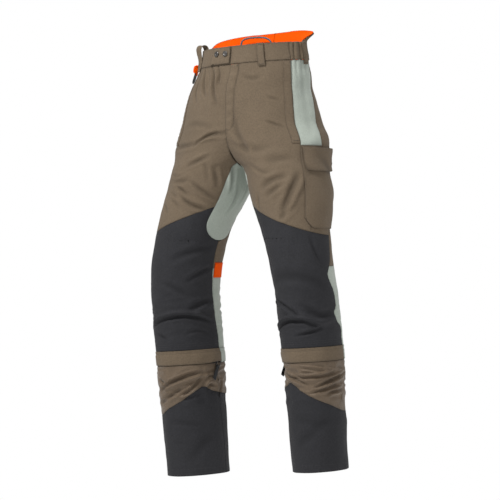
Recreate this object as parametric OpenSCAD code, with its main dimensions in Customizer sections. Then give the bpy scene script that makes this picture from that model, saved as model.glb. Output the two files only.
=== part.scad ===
// Protective work trousers with zip-off lower legs.
// Origin: middle of the waist opening, level with the front waist edge.
// +Z up, the wearer faces -Y, the wearer's left is +X.

/* [Length] */
// Front waist edge to hem
outseam = 1078; // [1050:1:1110]
// Front waist edge to crotch
rise = 307; // [300:1:315]
// Height of the waistband
waistband_h = 45; // [40:1:50]
// How much higher the wearer's left hem hangs
left_lift = 24; // [0:1:30]

/* [Width] */
// Waist opening, side to side
waist_w = 266; // [256:1:276]
// Waist opening, front to back
waist_d = 200; // [192:1:208]
// Distance between the middles of the two hems
stance = 360; // [350:1:370]
// Turn-out of each leg in degrees
toe_out = 15; // [12:1:18]
// Knee width across the leg
knee_w = 150; // [144:1:156]
// Knee depth
knee_d = 190; // [184:1:196]
// Hem width across the leg
hem_w = 136; // [130:1:142]
// Hem depth
hem_d = 174; // [168:1:180]

/* [Back waist] */
// Height of the yoke above the front waist edge at centre back
yoke_rise = 36; // [30:1:42]
// How far the top of the yoke leans out at the sides
yoke_flare = 18; // [10:1:24]

/* [Cloth] */
// Thickness of an outer cloth layer
cloth = 2; // [1.6:0.1:2.2]
// Thickness of the cut-protection inlays
inlay = 3; // [2:0.5:4]

/* [Hardware] */
// Diameter of a press stud cap
stud_d = 13.5; // [12:0.5:15]
// Width of a belt loop
loop_w = 17; // [14:1:20]
// Width of the hip strap and its ring
strap_w = 14; // [12:1:15]
// Diameter of the hole in the hip ring
ring_hole_d = 12; // [11:0.5:12.5]
// Length of a leg zip pull tab
tab_l = 38; // [30:1:44]

/* [Hidden] */

left = 1;
right = -1;
taupe = [0.44, 0.40, 0.34];
charcoal = [0.20, 0.20, 0.21];
sage = [0.66, 0.70, 0.67];
orange = [1.0, 0.40, 0.0];
webbing = [0.12, 0.12, 0.13];
nickel = [0.45, 0.44, 0.43];
lining = [0.45, 0.50, 0.56];
$fn = 48;

inseam = outseam - rise;
leg_x = stance / 2;

// Heights shared by several pieces
hip_cut = -rise + 55;
pocket_bottom = -rise - 0.20 * inseam;
guard_front_top = -rise - 0.121 * inseam;
guard_side_top = -rise - 0.221 * inseam;
gusset_round = -rise - 0.160 * inseam;
gusset_tip = -rise - 0.231 * inseam;
thigh_end = -rise - 0.322 * inseam;
knee_z = -rise - 0.447 * inseam;
flap_top = -rise - 0.587 * inseam;
flap_bottom = -rise - 0.634 * inseam;
zip_z = -rise - 0.6115 * inseam;
gaiter_z = -rise - 0.78 * inseam;

// Sections from hem to waist: height, centre x, centre y, half width, half depth, turn-out
SECTIONS = [
  [-outseam, leg_x, 29, hem_w / 2, hem_d / 2, toe_out],
  [-rise - 0.789 * inseam, leg_x, 7, hem_w / 2 + 3, hem_d / 2 + 3, toe_out],
  [-rise - 0.591 * inseam, leg_x, -12, knee_w / 2, knee_d / 2 - 1, toe_out],
  [knee_z, leg_x - 2, -31, knee_w / 2, knee_d / 2, toe_out],
  [-rise - 0.382 * inseam, leg_x - 5, -40, knee_w / 2 + 1, knee_d / 2, toe_out],
  [-rise - 0.297 * inseam, leg_x - 14, -47, knee_w / 2 + 3, knee_d / 2 + 1, toe_out],
  [-rise - 0.2125 * inseam, leg_x - 29, -44, knee_w / 2 + 7, knee_d / 2 + 3, toe_out],
  [-rise - 0.077 * inseam, leg_x - 59, -20, 99, 110, 13],
  [-rise, leg_x - 76, -10, 103, 113, 11],
  [-rise + 18, leg_x - 88, -5, 112, 115, 10],
  [-rise + 57, leg_x - 108, 2, 131, 118, 8],
  [-rise + 91, leg_x - 132, 5, 149, 120, 6],
  [-rise + 177, 28, 2, waist_w / 2 + 10, waist_d / 2 + 15, 3],
  [-waistband_h, 6, 0, waist_w / 2 + 2, waist_d / 2 + 6, 0],
  [0, 0, 0, waist_w / 2, waist_d / 2, 0],
  [yoke_rise, 0, 4, waist_w / 2 + yoke_flare, waist_d / 2 + 4, 0]];
function column(k) = [for (s = SECTIONS) [s[0], s[k]]];
CENTRE_X = column(1);
CENTRE_Y = column(2);
HALF_W = column(3);
HALF_D = column(4);
TURN = column(5);

// Clearances: half a seam in degrees and in millimetres, and from the middle plane
seam_t = 1.3;
seam_z = 2;
centre_gap = 1;

// ---- The body of the garment -----------------------------------------------------
// Angle t runs round each leg: 0 inner side, 90 front, 180 outer side, 270 back.

// Both hems differ in height, so the left leg is shortened below the crotch
function drop(side, z) =
  side > 0 && z < -rise ? -rise + (z + rise) * (1 - left_lift / inseam) : z;

function skin(side, t, z, off = 0) =
  let (u = -(lookup(z, HALF_W) + off) * cos(t), v = -(lookup(z, HALF_D) + off) * sin(t),
       psi = lookup(z, TURN),
       x = lookup(z, CENTRE_X) + u * cos(psi) - v * sin(psi),
       y = lookup(z, CENTRE_Y) + u * sin(psi) + v * cos(psi))
  [side * max(centre_gap, x), y, drop(side, z)];

// Direction that the cloth faces, as a heading in the plan
function heading(side, t, z) =
  let (psi = lookup(z, TURN), u = -cos(t) * lookup(z, HALF_D),
       v = -sin(t) * lookup(z, HALF_W), h = atan2(v, u) + psi)
  side > 0 ? h : 180 - h;

// Lean of the cloth out from the vertical
function lean(side, t, z) =
  let (h = heading(side, t, z), d = skin(side, t, z + 5) - skin(side, t, z - 5))
  atan2(d[0] * cos(h) + d[1] * sin(h), d[2]);

// Angles at which the skin meets the middle plane, in front and behind
function half_span(z) =
  let (psi = lookup(z, TURN), p = lookup(z, HALF_W) * cos(psi), q = lookup(z, HALF_D) * sin(psi))
  [acos(min(1, (lookup(z, CENTRE_X) - centre_gap) / norm([p, q]))), atan2(q, p)];
function t_front(z) = let (h = half_span(z)) h[0] - h[1];
function t_back(z) = let (h = half_span(z)) 360 - h[0] - h[1];

function at(f, x) = is_function(f) ? f(x) : f;
function at2(f, t, z) = is_function(f) ? f(t, z) : f;

// A closed sheet of cloth on the skin, between two angle edges and two height edges
module panel(side, t_lo, t_hi, z_lo, z_hi, nu, nv, off = -cloth, thick = cloth) {
  function mix(lo, hi, k) = lo + (hi - lo) * k;
  function place(u, v) =
    let (z_a = mix(at(z_lo, 90), at(z_hi, 90), v),
         t_a = mix(at(t_lo, z_a), at(t_hi, z_a), u),
         z_b = mix(at(z_lo, t_a), at(z_hi, t_a), v),
         t_b = mix(at(t_lo, z_b), at(t_hi, z_b), u))
    [t_b, mix(at(z_lo, t_b), at(z_hi, t_b), v)];
  grid = [for (j = [0:nv], i = [0:nu]) place(i / nu, j / nv)];
  inside = [for (g = grid) skin(side, g[0], g[1], at2(off, g[0], g[1]))];
  outside = [for (g = grid)
    skin(side, g[0], g[1], at2(off, g[0], g[1]) + at2(thick, g[0], g[1]))];
  count = len(grid);
  row = nu + 1;
  // Each quad is two triangles, wound outwards on the left side
  function quad(a, b, c, d) = [[a, b, c], [a, c, d]];
  faces = concat(
    [for (j = [0:nv - 1], i = [0:nu - 1]) let (k = j * row + i)
      each quad(k, k + 1, k + row + 1, k + row)],
    [for (j = [0:nv - 1], i = [0:nu - 1]) let (k = count + j * row + i)
      each quad(k, k + row, k + row + 1, k + 1)],
    [for (i = [0:nu - 1]) let (k = i) each quad(k, k + count, k + 1 + count, k + 1)],
    [for (i = [0:nu - 1]) let (k = nv * row + i)
      each quad(k, k + 1, k + 1 + count, k + count)],
    [for (j = [0:nv - 1]) let (k = j * row)
      each quad(k, k + row, k + row + count, k + count)],
    [for (j = [0:nv - 1]) let (k = j * row + nu)
      each quad(k, k + count, k + row + count, k + row)]);
  polyhedron(points = concat(inside, outside),
    faces = side > 0 ? faces : [for (f = faces) [f[0], f[2], f[1]]], convexity = 8);
}

// Children are drawn with X out of the cloth, Z up along it
module on_skin(side, t, z, off = 0, follow = true) {
  translate(skin(side, t, z, off))
    rotate([0, follow ? lean(side, t, z) : 0, heading(side, t, z)]) children();
}

// ---- Seams -----------------------------------------------------------------------
band_front_end = 159;
function hip_edge(z) = lookup(z, [[hip_cut, 137], [-waistband_h, band_front_end]]);
function side_seam(z) = lookup(z, [[guard_side_top, 184], [hip_cut, 170], [-waistband_h, 203]]);
yoke_start = 199;
function yoke_top(t) = yoke_rise * max(0, 1 - pow((270 - t) / 88, 3));

gusset_mid = -13;
gusset_half = 35;
function gusset_half_at(z) = z > gusset_round ? gusset_half
  : gusset_half * sqrt(max(0, 1 - pow((gusset_round - z) / (gusset_round - gusset_tip), 2)));
function thigh_front_edge(z) = max(t_front(z), gusset_mid + gusset_half);
function thigh_back_edge(z) = z > gusset_tip
  ? min(t_back(z), 360 + gusset_mid - gusset_half_at(z)) : 360 + gusset_mid;

guard_t0 = 20;
guard_t1 = 184;
function guard_top(t) = guard_front_top
  - (guard_front_top - guard_side_top) * sin(90 * min(1, max(0, (t - guard_t0) / (guard_t1 - guard_t0))));
inner_end = -24;
function guard_inner(z) = z > gusset_tip ? gusset_mid + gusset_half_at(z)
  : lookup(z, [[flap_top, inner_end], [thigh_end, gusset_mid]]);
function guard_outer(z) = lookup(z, [[flap_top, 182], [knee_z - 65, 182], [knee_z - 46, 169],
  [knee_z - 24, 165], [knee_z, 173], [knee_z + 24, 173], [knee_z + 74, 160], [thigh_end, 169],
  [guard_side_top, guard_t1]]);

// Top edge of the gaiter: a peak on the front of each shin, at its own angle
function gaiter_peak(side) = side > 0 ? 68 : 19;
function gaiter_top(side, t) =
  let (d = (t - gaiter_peak(side)) % 360, away = d > 180 ? d - 360 : d < -180 ? d + 360 : d)
  gaiter_z + 52 - 60 * (1 - exp(-abs(away) / 40)) * (away < 0 ? 0.5 : 1);

// ---- Waist -----------------------------------------------------------------------
module waistband(side) {
  color(taupe) panel(side, function(z) t_front(z), band_front_end - seam_t,
    -waistband_h + seam_z / 2, 0, 12, 2);
}

stud_z = -24;
stud_angles = [94.5, 106];
tab_off = 3.6;
tab_thick = 1.6;

module stud_posts() {
  color(nickel) for (t = stud_angles) on_skin(right, t, stud_z, 0.6) rotate([0, 90, 0]) {
    cylinder(d = 0.75 * stud_d, h = 0.8);
    cylinder(d = 4, h = 2.2);
  }
}

module waist_tab() {
  color(taupe) panel(right, function(z) t_front(z) + 1, 115, -waistband_h + 3, -2, 6, 2,
    tab_off, tab_thick);
}

module stud_caps() {
  color(nickel) for (t = stud_angles)
    on_skin(right, t, stud_z, tab_off + tab_thick + 0.4) rotate([0, 90, 0])
      rotate_extrude() polygon([[0, 0], [stud_d / 2, 0], [stud_d / 2, 0.8],
        [stud_d / 2 - 1.2, 1.6], [stud_d / 4, 1.6], [stud_d / 4 - 1, 1.2], [0, 1.2]]);
}

module elastic_channels() {
  color(taupe) for (side = [left, right])
    panel(side, band_front_end + seam_t, yoke_start - seam_t, -waistband_h + seam_z / 2,
      function(t) yoke_top(t), 6, 3);
}

module waist_elastics() {
  color(webbing) for (side = [left, right])
    panel(side, band_front_end + 3, yoke_start - 3, -waistband_h + 6, -13, 5, 1, -4.4, 0.9);
}

module back_yoke() {
  color(taupe) for (side = [left, right])
    panel(side, yoke_start + seam_t, function(z) t_back(z), -waistband_h + seam_z / 2,
      function(t) yoke_top(t), 8, 4);
}

module yoke_lining() {
  color(orange) for (side = [left, right])
    panel(side, yoke_start - 12, function(z) t_back(z), -waistband_h + 4,
      function(t) yoke_top(t) - 2, 8, 3, -6.7, 1);
}

// The cloth strip of a belt loop bows out between its two sewn feet
module belt_loop(side, t) {
  top = -2;
  bow = 3;
  function reach(z) = let (k = (top - z) / (top + waistband_h + 10)) 3 + bow * pow(sin(180 * k), 0.6);
  wide = loop_w / 2 / lookup(-20, HALF_D) * 57.3;
  panel(side, t - wide, t + wide, -waistband_h - 10, top, 2, 6, function(t, z) reach(z), 1.4);
}

// The loop at the right hip arches over the top edge of the band
module arched_loop(side, t) {
  thick = 1.6;
  function out(z) = let (h = heading(side, t, 0), d = skin(side, t, min(0, z)) - skin(side, t, 0))
    d[0] * cos(h) + d[1] * sin(h);
  path = [for (p = [[-4, -12], [-4, 2], [-1.5, 8], [4, 10.5], [9, 8], [11, 2], [9.5, -8],
    [5, -26], [2.6, -40], [2.6, -54]]) [p[0] + (p[0] > 2 ? out(p[1]) : 0), p[1]]];
  last = len(path) - 1;
  function beside(k, w) = let (d = path[min(k + 1, last)] - path[max(k - 1, 0)])
    path[k] + w * [-d[1], d[0]] / norm(d);
  on_skin(side, t, 0, 0, false) rotate([90, 0, 0]) translate([0, 0, -loop_w / 2])
    linear_extrude(loop_w) polygon(concat([for (k = [0:last]) beside(k, thick / 2)],
      [for (k = [last:-1:0]) beside(k, -thick / 2)]));
}

module belt_loops() {
  color(taupe) {
    for (t = [123, 183, 235, 265]) belt_loop(left, t);
    for (t = [180, 235]) belt_loop(right, t);
    arched_loop(right, 145);
  }
}

// A cord arch inside the back waist: two legs, two round corners and a straight top
module hanger_loop() {
  half = 41;
  corner = 16;
  wire = 2.2;
  tail = 14;
  color(lining) translate([-40, 78.8, 29]) rotate([90, 0, 15]) {
    for (x = [-1, 1]) {
      translate([x * (half - corner), -corner, 0]) rotate([0, 0, x > 0 ? 0 : 90])
        rotate_extrude(angle = 90) translate([corner, 0]) circle(r = wire);
      translate([x * half, -corner, 0]) rotate([90, 0, 0]) cylinder(r = wire, h = tail);
    }
    translate([corner - half, 0, 0]) rotate([0, 90, 0]) cylinder(r = wire, h = 2 * (half - corner));
  }
}

// ---- Hips ------------------------------------------------------------------------
hip_top = -waistband_h - seam_z / 2;
hip_bottom = hip_cut + seam_z;

module front_rise(side) {
  color(taupe) panel(side, function(z) t_front(z), function(z) hip_edge(z) - seam_t,
    hip_bottom, hip_top, 8, 5);
}

module seat_panels() {
  color(taupe) for (side = [left, right])
    panel(side, function(z) side_seam(z) + seam_t, function(z) t_back(z), hip_bottom, hip_top, 8, 5);
}

module hip_stretch() {
  color(sage) for (side = [left, right])
    panel(side, function(z) hip_edge(z) + seam_t, function(z) side_seam(z) - seam_t,
      hip_bottom, hip_top, 4, 5);
}

module pocket_welts() {
  half = 4.5;
  function mid(z) = hip_edge(z) - half - seam_t - 0.5;
  color(taupe) for (side = [left, right])
    panel(side, function(z) mid(z) - half, function(z) mid(z) + half,
      hip_bottom + 4, hip_top - 11, 2, 5, 1.2, 1.6);
}

module pocket_bags() {
  color(lining) for (side = [left, right])
    panel(side, 108, function(z) hip_edge(z) - 4, hip_bottom + 4, hip_bottom + 130, 4, 4, -13, 4);
}

module fly_facing() {
  color(taupe) panel(left, function(z) t_front(z),
    function(z) t_front(z) + lookup(z, [[-rise + 91, 2], [-rise + 128, 14], [-waistband_h, 12]]),
    -rise + 93, hip_top - 2, 3, 6, -5.4, 1.4);
}

// ---- Fly zip: two taped rows, with a slot that the slider's post runs in -----------
fly_y = -92;
fly_top = -56;
fly_len = 150;
slider_l = 13;
bail_out = 5.3;
bail_down = 5.5;
module fly_zip() {
  tape_w = 12;
  tooth = [1.6, 2.4, 2];
  pitch = 5;
  slot = 0.9;
  for (side = [left, right]) scale([side, 1, 1]) {
    color(webbing) translate([slot + tooth[0], fly_y - 0.5, fly_top - fly_len])
      cube([tape_w, 1, fly_len]);
    color(nickel) for (k = [1:floor(fly_len / pitch) - 1])
      translate([slot, fly_y - tooth[1] / 2, fly_top - k * pitch]) cube(tooth);
  }
}

module fly_slider() {
  plate = [8, 1.4, slider_l];
  gap = 1.7;
  color(nickel) translate([0, fly_y, fly_top - 3]) {
    for (y = [-gap - plate[1], gap]) translate([-plate[0] / 2, y, -slider_l]) cube(plate);
    translate([-0.6, -gap - 0.2, -slider_l]) cube([1.2, 2 * gap + 0.4, 4]);
    // Bail that the puller hangs from
    for (x = [-3.4, 2.2]) translate([x, -gap - plate[1] - 3.1, -8]) cube([1.2, 3.2, 5]);
    translate([-3.4, -bail_out, -bail_down]) rotate([0, 90, 0]) cylinder(r = 0.8, h = 6.8);
  }
}

module fly_puller() {
  color(nickel) translate([0, fly_y - bail_out, fly_top - 3 - bail_down]) rotate([90, 0, 90]) {
    difference() {
      union() {
        translate([0, 0, -1.8]) cylinder(r = 1.8, h = 3.6);
        translate([-0.7, -22, -1.8]) cube([1.4, 22, 3.6]);
      }
      translate([0, 0, -3]) cylinder(r = 1.1, h = 6);
    }
  }
}

// ---- Hip strap and key ring --------------------------------------------------------
ring_t = 162;
ring_z = -53;
strap_l = 21;
bar_out = 5.4;
bar_down = 16;
bar_r = 1.4;
fold_r = 3;
module ring_strap() {
  color(orange) on_skin(right, ring_t, ring_z) rotate([90, 0, 0])
    translate([0, 0, -strap_w / 2]) linear_extrude(strap_w) difference() {
      union() {
        translate([bar_out, -bar_down]) circle(r = fold_r);
        translate([bar_out - 1.2, -bar_down]) square([2.4, strap_l]);
      }
      translate([bar_out, -bar_down]) circle(r = bar_r + 0.3);
    }
}

ring_plate = 3;
module hip_ring() {
  lug = 2.8;
  half = strap_w / 2 + 0.7 + lug;
  drop_to_hole = half + 4.5;
  color(webbing) on_skin(right, ring_t, ring_z) translate([bar_out, 0, -bar_down]) {
    translate([-ring_plate / 2, 0, 0]) rotate([90, 0, 90]) linear_extrude(ring_plate) difference() {
      union() {
        translate([0, -drop_to_hole]) circle(r = half);
        translate([-half, -drop_to_hole]) square([2 * half, drop_to_hole + bar_r]);
      }
      translate([0, -drop_to_hole]) circle(d = ring_hole_d);
      translate([-half + lug, -fold_r - 1.3]) square([2 * (half - lug), fold_r + 1.3 + bar_r + 1]);
    }
    translate([0, -half + 0.1, 0]) rotate([-90, 0, 0]) cylinder(r = bar_r, h = 2 * half - 0.2);
  }
}

// ---- Thighs ------------------------------------------------------------------------
thigh_top = hip_cut - seam_z;

module front_thigh(side) {
  color(taupe) panel(side, function(z) thigh_front_edge(z) + seam_t,
    function(z) side_seam(z) - seam_t, function(t) guard_top(t) + seam_z, thigh_top, 10, 6);
}

module back_thigh(side) {
  color(taupe) panel(side, function(z) side_seam_low(z) + seam_t,
    function(z) thigh_back_edge(z) - seam_t, thigh_end + seam_z, thigh_top, 10, 18);
}
// Below the top of the guard the side seam is the edge of the guard
function side_seam_low(z) = z > guard_side_top ? side_seam(z) : guard_outer(z);

module inner_gusset(side) {
  function across(t) = min(1, abs(t - gusset_mid) / gusset_half);
  gap = 2;
  color(sage) panel(side, gusset_mid - gusset_half + gap, gusset_mid + gusset_half - gap,
    function(t) gusset_round + 2 * gap - (gusset_round - gusset_tip) * sqrt(1 - pow(across(t), 2)),
    function(t) -rise - 3 + 14 * pow(across(t), 2), 8, 5);
}

module thigh_guard(side) {
  color(charcoal) panel(side, function(z) guard_inner(z) + seam_t,
    function(z) min(guard_outer(z), guard_t1) - seam_t, thigh_end + seam_z / 2,
    function(t) guard_top(t) - seam_z, 12, 8);
}

module thigh_inlay(side) {
  color(lining) panel(side, 28, 154, thigh_end + 6, guard_side_top - 4, 10, 2, -5.8 - inlay, inlay);
}

module knee_stretch(side) {
  color(sage) panel(side, function(z) guard_outer(z) + seam_t,
    function(z) 360 + guard_inner(z) - seam_t, flap_top + seam_z, thigh_end - seam_z, 10, 8);
}

module thigh_patch(side) {
  color(orange) panel(side, 285, 344, thigh_end - 23, thigh_end + 15, 5, 2, 2, 0.8);
}

// ---- Cargo pocket on the left thigh --------------------------------------------------
pocket_top = thigh_top - 3;
flap_h = 60;
function pocket_front(z) = lookup(z, [[pocket_bottom, 126], [pocket_top, 136]]);
function pocket_back(z) = lookup(z, [[pocket_bottom, 220], [pocket_top, 225]]);
flap_off = 7.5;
cargo_stud_t = 216;
cargo_stud_z = pocket_top - 38;

module cargo_pocket() {
  under_flap = pocket_top - flap_h - 8;
  function fill(z) = z > under_flap ? 0 : sin(180 * (under_flap - z) / (under_flap - pocket_bottom));
  color(taupe) panel(left, function(z) pocket_front(z), function(z) pocket_back(z),
    function(t) pocket_bottom + 22 * pow(max(0, (142 - t) / 16), 2), pocket_top - 2, 10, 9,
    1.5, function(t, z) 2.5 + 9 * fill(z) * sin(180 * (t - 122) / 106));
}

module cargo_flap() {
  color(taupe) panel(left, 137, 224, pocket_top - flap_h, pocket_top, 10, 2, flap_off, 1.8);
}

module cargo_stud_post() {
  color(nickel) on_skin(left, cargo_stud_t, cargo_stud_z, 4.6) rotate([0, 90, 0]) {
    cylinder(d = 0.75 * stud_d, h = 0.8);
    cylinder(d = 4, h = 1.8);
  }
}

module cargo_stud_cap() {
  color(nickel) on_skin(left, cargo_stud_t, cargo_stud_z, flap_off + 2.3) rotate([0, 90, 0])
    rotate_extrude() polygon([[0, 0], [stud_d / 2, 0], [stud_d / 2, 0.8],
      [stud_d / 2 - 1.2, 1.6], [stud_d / 4, 1.6], [stud_d / 4 - 1, 1.2], [0, 1.2]]);
}

// A small cord eye sewn in above the rear corner of the flap
module cord_loop() {
  wire = 0.9;
  r = 4;
  color(webbing) on_skin(left, 214, hip_bottom + 8, wire + 0.8) rotate([0, 90, 0]) {
    rotate_extrude() translate([r, 0]) circle(r = wire);
  }
}

// ---- Shins ---------------------------------------------------------------------------
module knee_guard(side) {
  color(charcoal) panel(side, function(z) guard_inner(z) + seam_t,
    function(z) guard_outer(z) - seam_t, flap_top + seam_z, thigh_end - seam_z / 2, 12, 9);
}

module knee_inlay(side) {
  color(lining) panel(side, 10, 150, flap_top + 8, thigh_end - 8, 8, 6, -5 - inlay, inlay);
}

// Skirt over the leg zip: sewn on at its top edge, free at its lower edge
module zip_flap(side) {
  color(taupe) panel(side, inner_end + seam_t, 360 + inner_end - seam_t, flap_bottom, flap_top, 40, 3,
    function(t, z) lookup(z, [[flap_top - 9, 6.6], [flap_top, 0.6]]), 1.4);
}

zip_reach = 18;
tape_t = 1.2;
bead_t = 2.4;
bead_w = 4;
module upper_zip(side) {
  color(webbing) panel(side, inner_end + 5, 360 + inner_end - 5, zip_z + 0.6, flap_top - 1, 32, 3,
    -cloth, function(t, z) z < zip_z + bead_w ? bead_t : tape_t);
}

module lower_zip(side) {
  color(webbing) panel(side, inner_end + 5, 360 + inner_end - 5, zip_z - zip_reach, zip_z - 0.6, 32, 3,
    -cloth, function(t, z) z > zip_z - bead_w ? bead_t : tape_t);
}

module shin_panel(side) {
  color(taupe) panel(side, inner_end + seam_t, 360 + inner_end - seam_t,
    function(t) gaiter_top(side, t) + seam_z, zip_z - zip_reach - 1.5, 24, 3);
}

module gaiter(side) {
  color(charcoal) panel(side, inner_end + seam_t, 360 + inner_end - seam_t, -outseam,
    function(t) gaiter_top(side, t) - seam_z, 24, 4);
}

// ---- Leg zip sliders and pull tabs -----------------------------------------------------
slider_t = -20;
pull_slant = 28;
pin_r = 1.1;
pin_out = 3;
pin_down = 17;
module leg_slider(side) {
  half_w = 5;
  half_h = 7;
  arm_in = 6.9;
  arm = 1.3;
  color(nickel) on_skin(side, slider_t, zip_z, 0, false) {
    translate([1.3, -half_w, -half_h]) cube([2.6, 2 * half_w, 2 * half_h]);
    translate([0, 0, -half_h]) rotate([side * pull_slant, 0, 0]) {
      translate([1.6, -arm_in - arm, -2.2]) cube([2.3, 2 * (arm_in + arm), 3]);
      for (y = [-arm_in - arm, arm_in]) translate([1.9, y, -pin_down - pin_r - 0.4])
        cube([2, arm, pin_down]);
      translate([pin_out, -arm_in - arm + 0.1, -pin_down]) rotate([-90, 0, 0])
        cylinder(r = pin_r, h = 2 * (arm_in + arm) - 0.2);
    }
  }
}

module leg_tab(side) {
  fold = 2;
  tab_w = 13;
  color(webbing) on_skin(side, slider_t, zip_z, 0, false) translate([0, 0, -7])
    rotate([side * pull_slant, 0, 0]) rotate([90, 0, 0]) translate([0, 0, -tab_w / 2])
      linear_extrude(tab_w) difference() {
        union() {
          translate([pin_out, -pin_down]) circle(r = fold);
          translate([pin_out - 0.8, -pin_down - tab_l]) square([1.6, tab_l]);
        }
        translate([pin_out, -pin_down]) circle(r = pin_r + 0.3);
      }
}

waistband(left);  // waistband_left
waistband(right);  // waistband_right
stud_posts();
elastic_channels();
waist_elastics();
back_yoke();
yoke_lining();
belt_loops();
hanger_loop();
front_rise(left);  // front_rise_left
front_rise(right);  // front_rise_right
seat_panels();
hip_stretch();
pocket_welts();
pocket_bags();
fly_facing();
fly_zip();
ring_strap();
cord_loop();
waist_tab();
stud_caps();
fly_slider();
fly_puller();
hip_ring();
front_thigh(left);  // front_thigh_left
front_thigh(right);  // front_thigh_right
back_thigh(left);  // back_thigh_left
back_thigh(right);  // back_thigh_right
thigh_guard(left);  // thigh_guard_left
thigh_guard(right);  // thigh_guard_right
thigh_inlay(left);  // thigh_inlay_left
thigh_inlay(right);  // thigh_inlay_right
knee_stretch(left);  // knee_stretch_left
knee_stretch(right);  // knee_stretch_right
thigh_patch(left);  // thigh_patch_left
thigh_patch(right);  // thigh_patch_right
inner_gusset(left);  // inner_gusset_left
inner_gusset(right);  // inner_gusset_right
cargo_pocket();
cargo_stud_post();
cargo_flap();
cargo_stud_cap();
knee_guard(left);  // knee_guard_left
knee_guard(right);  // knee_guard_right
knee_inlay(left);  // knee_inlay_left
knee_inlay(right);  // knee_inlay_right
zip_flap(left);  // zip_flap_left
zip_flap(right);  // zip_flap_right
upper_zip(left);  // upper_zip_left
upper_zip(right);  // upper_zip_right
lower_zip(left);  // lower_zip_left
lower_zip(right);  // lower_zip_right
shin_panel(left);  // shin_panel_left
shin_panel(right);  // shin_panel_right
gaiter(left);  // gaiter_left
gaiter(right);  // gaiter_right
leg_slider(left);  // leg_slider_left
leg_slider(right);  // leg_slider_right
leg_tab(left);  // leg_tab_left
leg_tab(right);  // leg_tab_right
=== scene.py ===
import math

import bpy
import numpy as np
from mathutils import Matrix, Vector


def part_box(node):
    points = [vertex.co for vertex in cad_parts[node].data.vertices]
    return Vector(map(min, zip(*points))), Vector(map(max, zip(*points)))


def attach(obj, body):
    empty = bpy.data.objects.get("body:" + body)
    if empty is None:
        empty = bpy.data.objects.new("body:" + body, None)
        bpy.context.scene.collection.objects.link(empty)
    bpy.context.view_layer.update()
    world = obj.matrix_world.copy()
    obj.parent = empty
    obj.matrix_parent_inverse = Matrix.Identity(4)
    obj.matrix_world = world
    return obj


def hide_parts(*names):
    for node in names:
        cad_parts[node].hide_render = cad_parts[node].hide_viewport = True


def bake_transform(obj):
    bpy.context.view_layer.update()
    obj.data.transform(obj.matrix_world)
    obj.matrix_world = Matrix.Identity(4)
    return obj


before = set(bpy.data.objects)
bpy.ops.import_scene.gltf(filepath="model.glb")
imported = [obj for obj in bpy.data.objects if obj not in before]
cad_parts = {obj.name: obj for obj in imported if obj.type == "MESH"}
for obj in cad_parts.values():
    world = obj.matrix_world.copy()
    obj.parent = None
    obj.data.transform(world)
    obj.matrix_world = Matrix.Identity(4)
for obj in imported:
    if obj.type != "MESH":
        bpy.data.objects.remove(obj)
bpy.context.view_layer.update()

# Lengths are in millimetres and angles in degrees, in the CAD model's frame.
# Meshes are scaled to metres when they are made.
MM = 0.001
LEFT, RIGHT = 1, -1
NAMES = {LEFT: "left", RIGHT: "right"}

# ---- Driving dimensions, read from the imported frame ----


def low(node, axis):
    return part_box(node)[0][axis] / MM


def high(node, axis):
    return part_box(node)[1][axis] / MM


OUTSEAM = -low("gaiter_right", 2)
RISE = 57 - low("front_rise_left", 2)
INSEAM = OUTSEAM - RISE
BAND_H = 1 - low("waistband_left", 2)
LEFT_LIFT = OUTSEAM + low("gaiter_left", 2)
YOKE_RISE = high("back_yoke", 2)
WAIST_W, WAIST_D = 266, 200
STANCE, TOE_OUT = 360, 15
KNEE_W, KNEE_D = 150, 190
HEM_W, HEM_D = 136, 174
YOKE_FLARE = 18
LEG_X = STANCE / 2

HIP_CUT = -RISE + 55
POCKET_TOP = HIP_CUT - 5
POCKET_BOTTOM = -RISE - 0.20 * INSEAM
GUARD_FRONT_TOP = -RISE - 0.121 * INSEAM
GUARD_SIDE_TOP = -RISE - 0.221 * INSEAM
GUSSET_ROUND = -RISE - 0.160 * INSEAM
GUSSET_TIP = -RISE - 0.231 * INSEAM
THIGH_END = -RISE - 0.322 * INSEAM
KNEE_Z = -RISE - 0.447 * INSEAM
FLAP_TOP = -RISE - 0.587 * INSEAM
FLAP_BOTTOM = -RISE - 0.634 * INSEAM
ZIP_Z = -RISE - 0.6115 * INSEAM
GAITER_Z = -RISE - 0.78 * INSEAM

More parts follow.
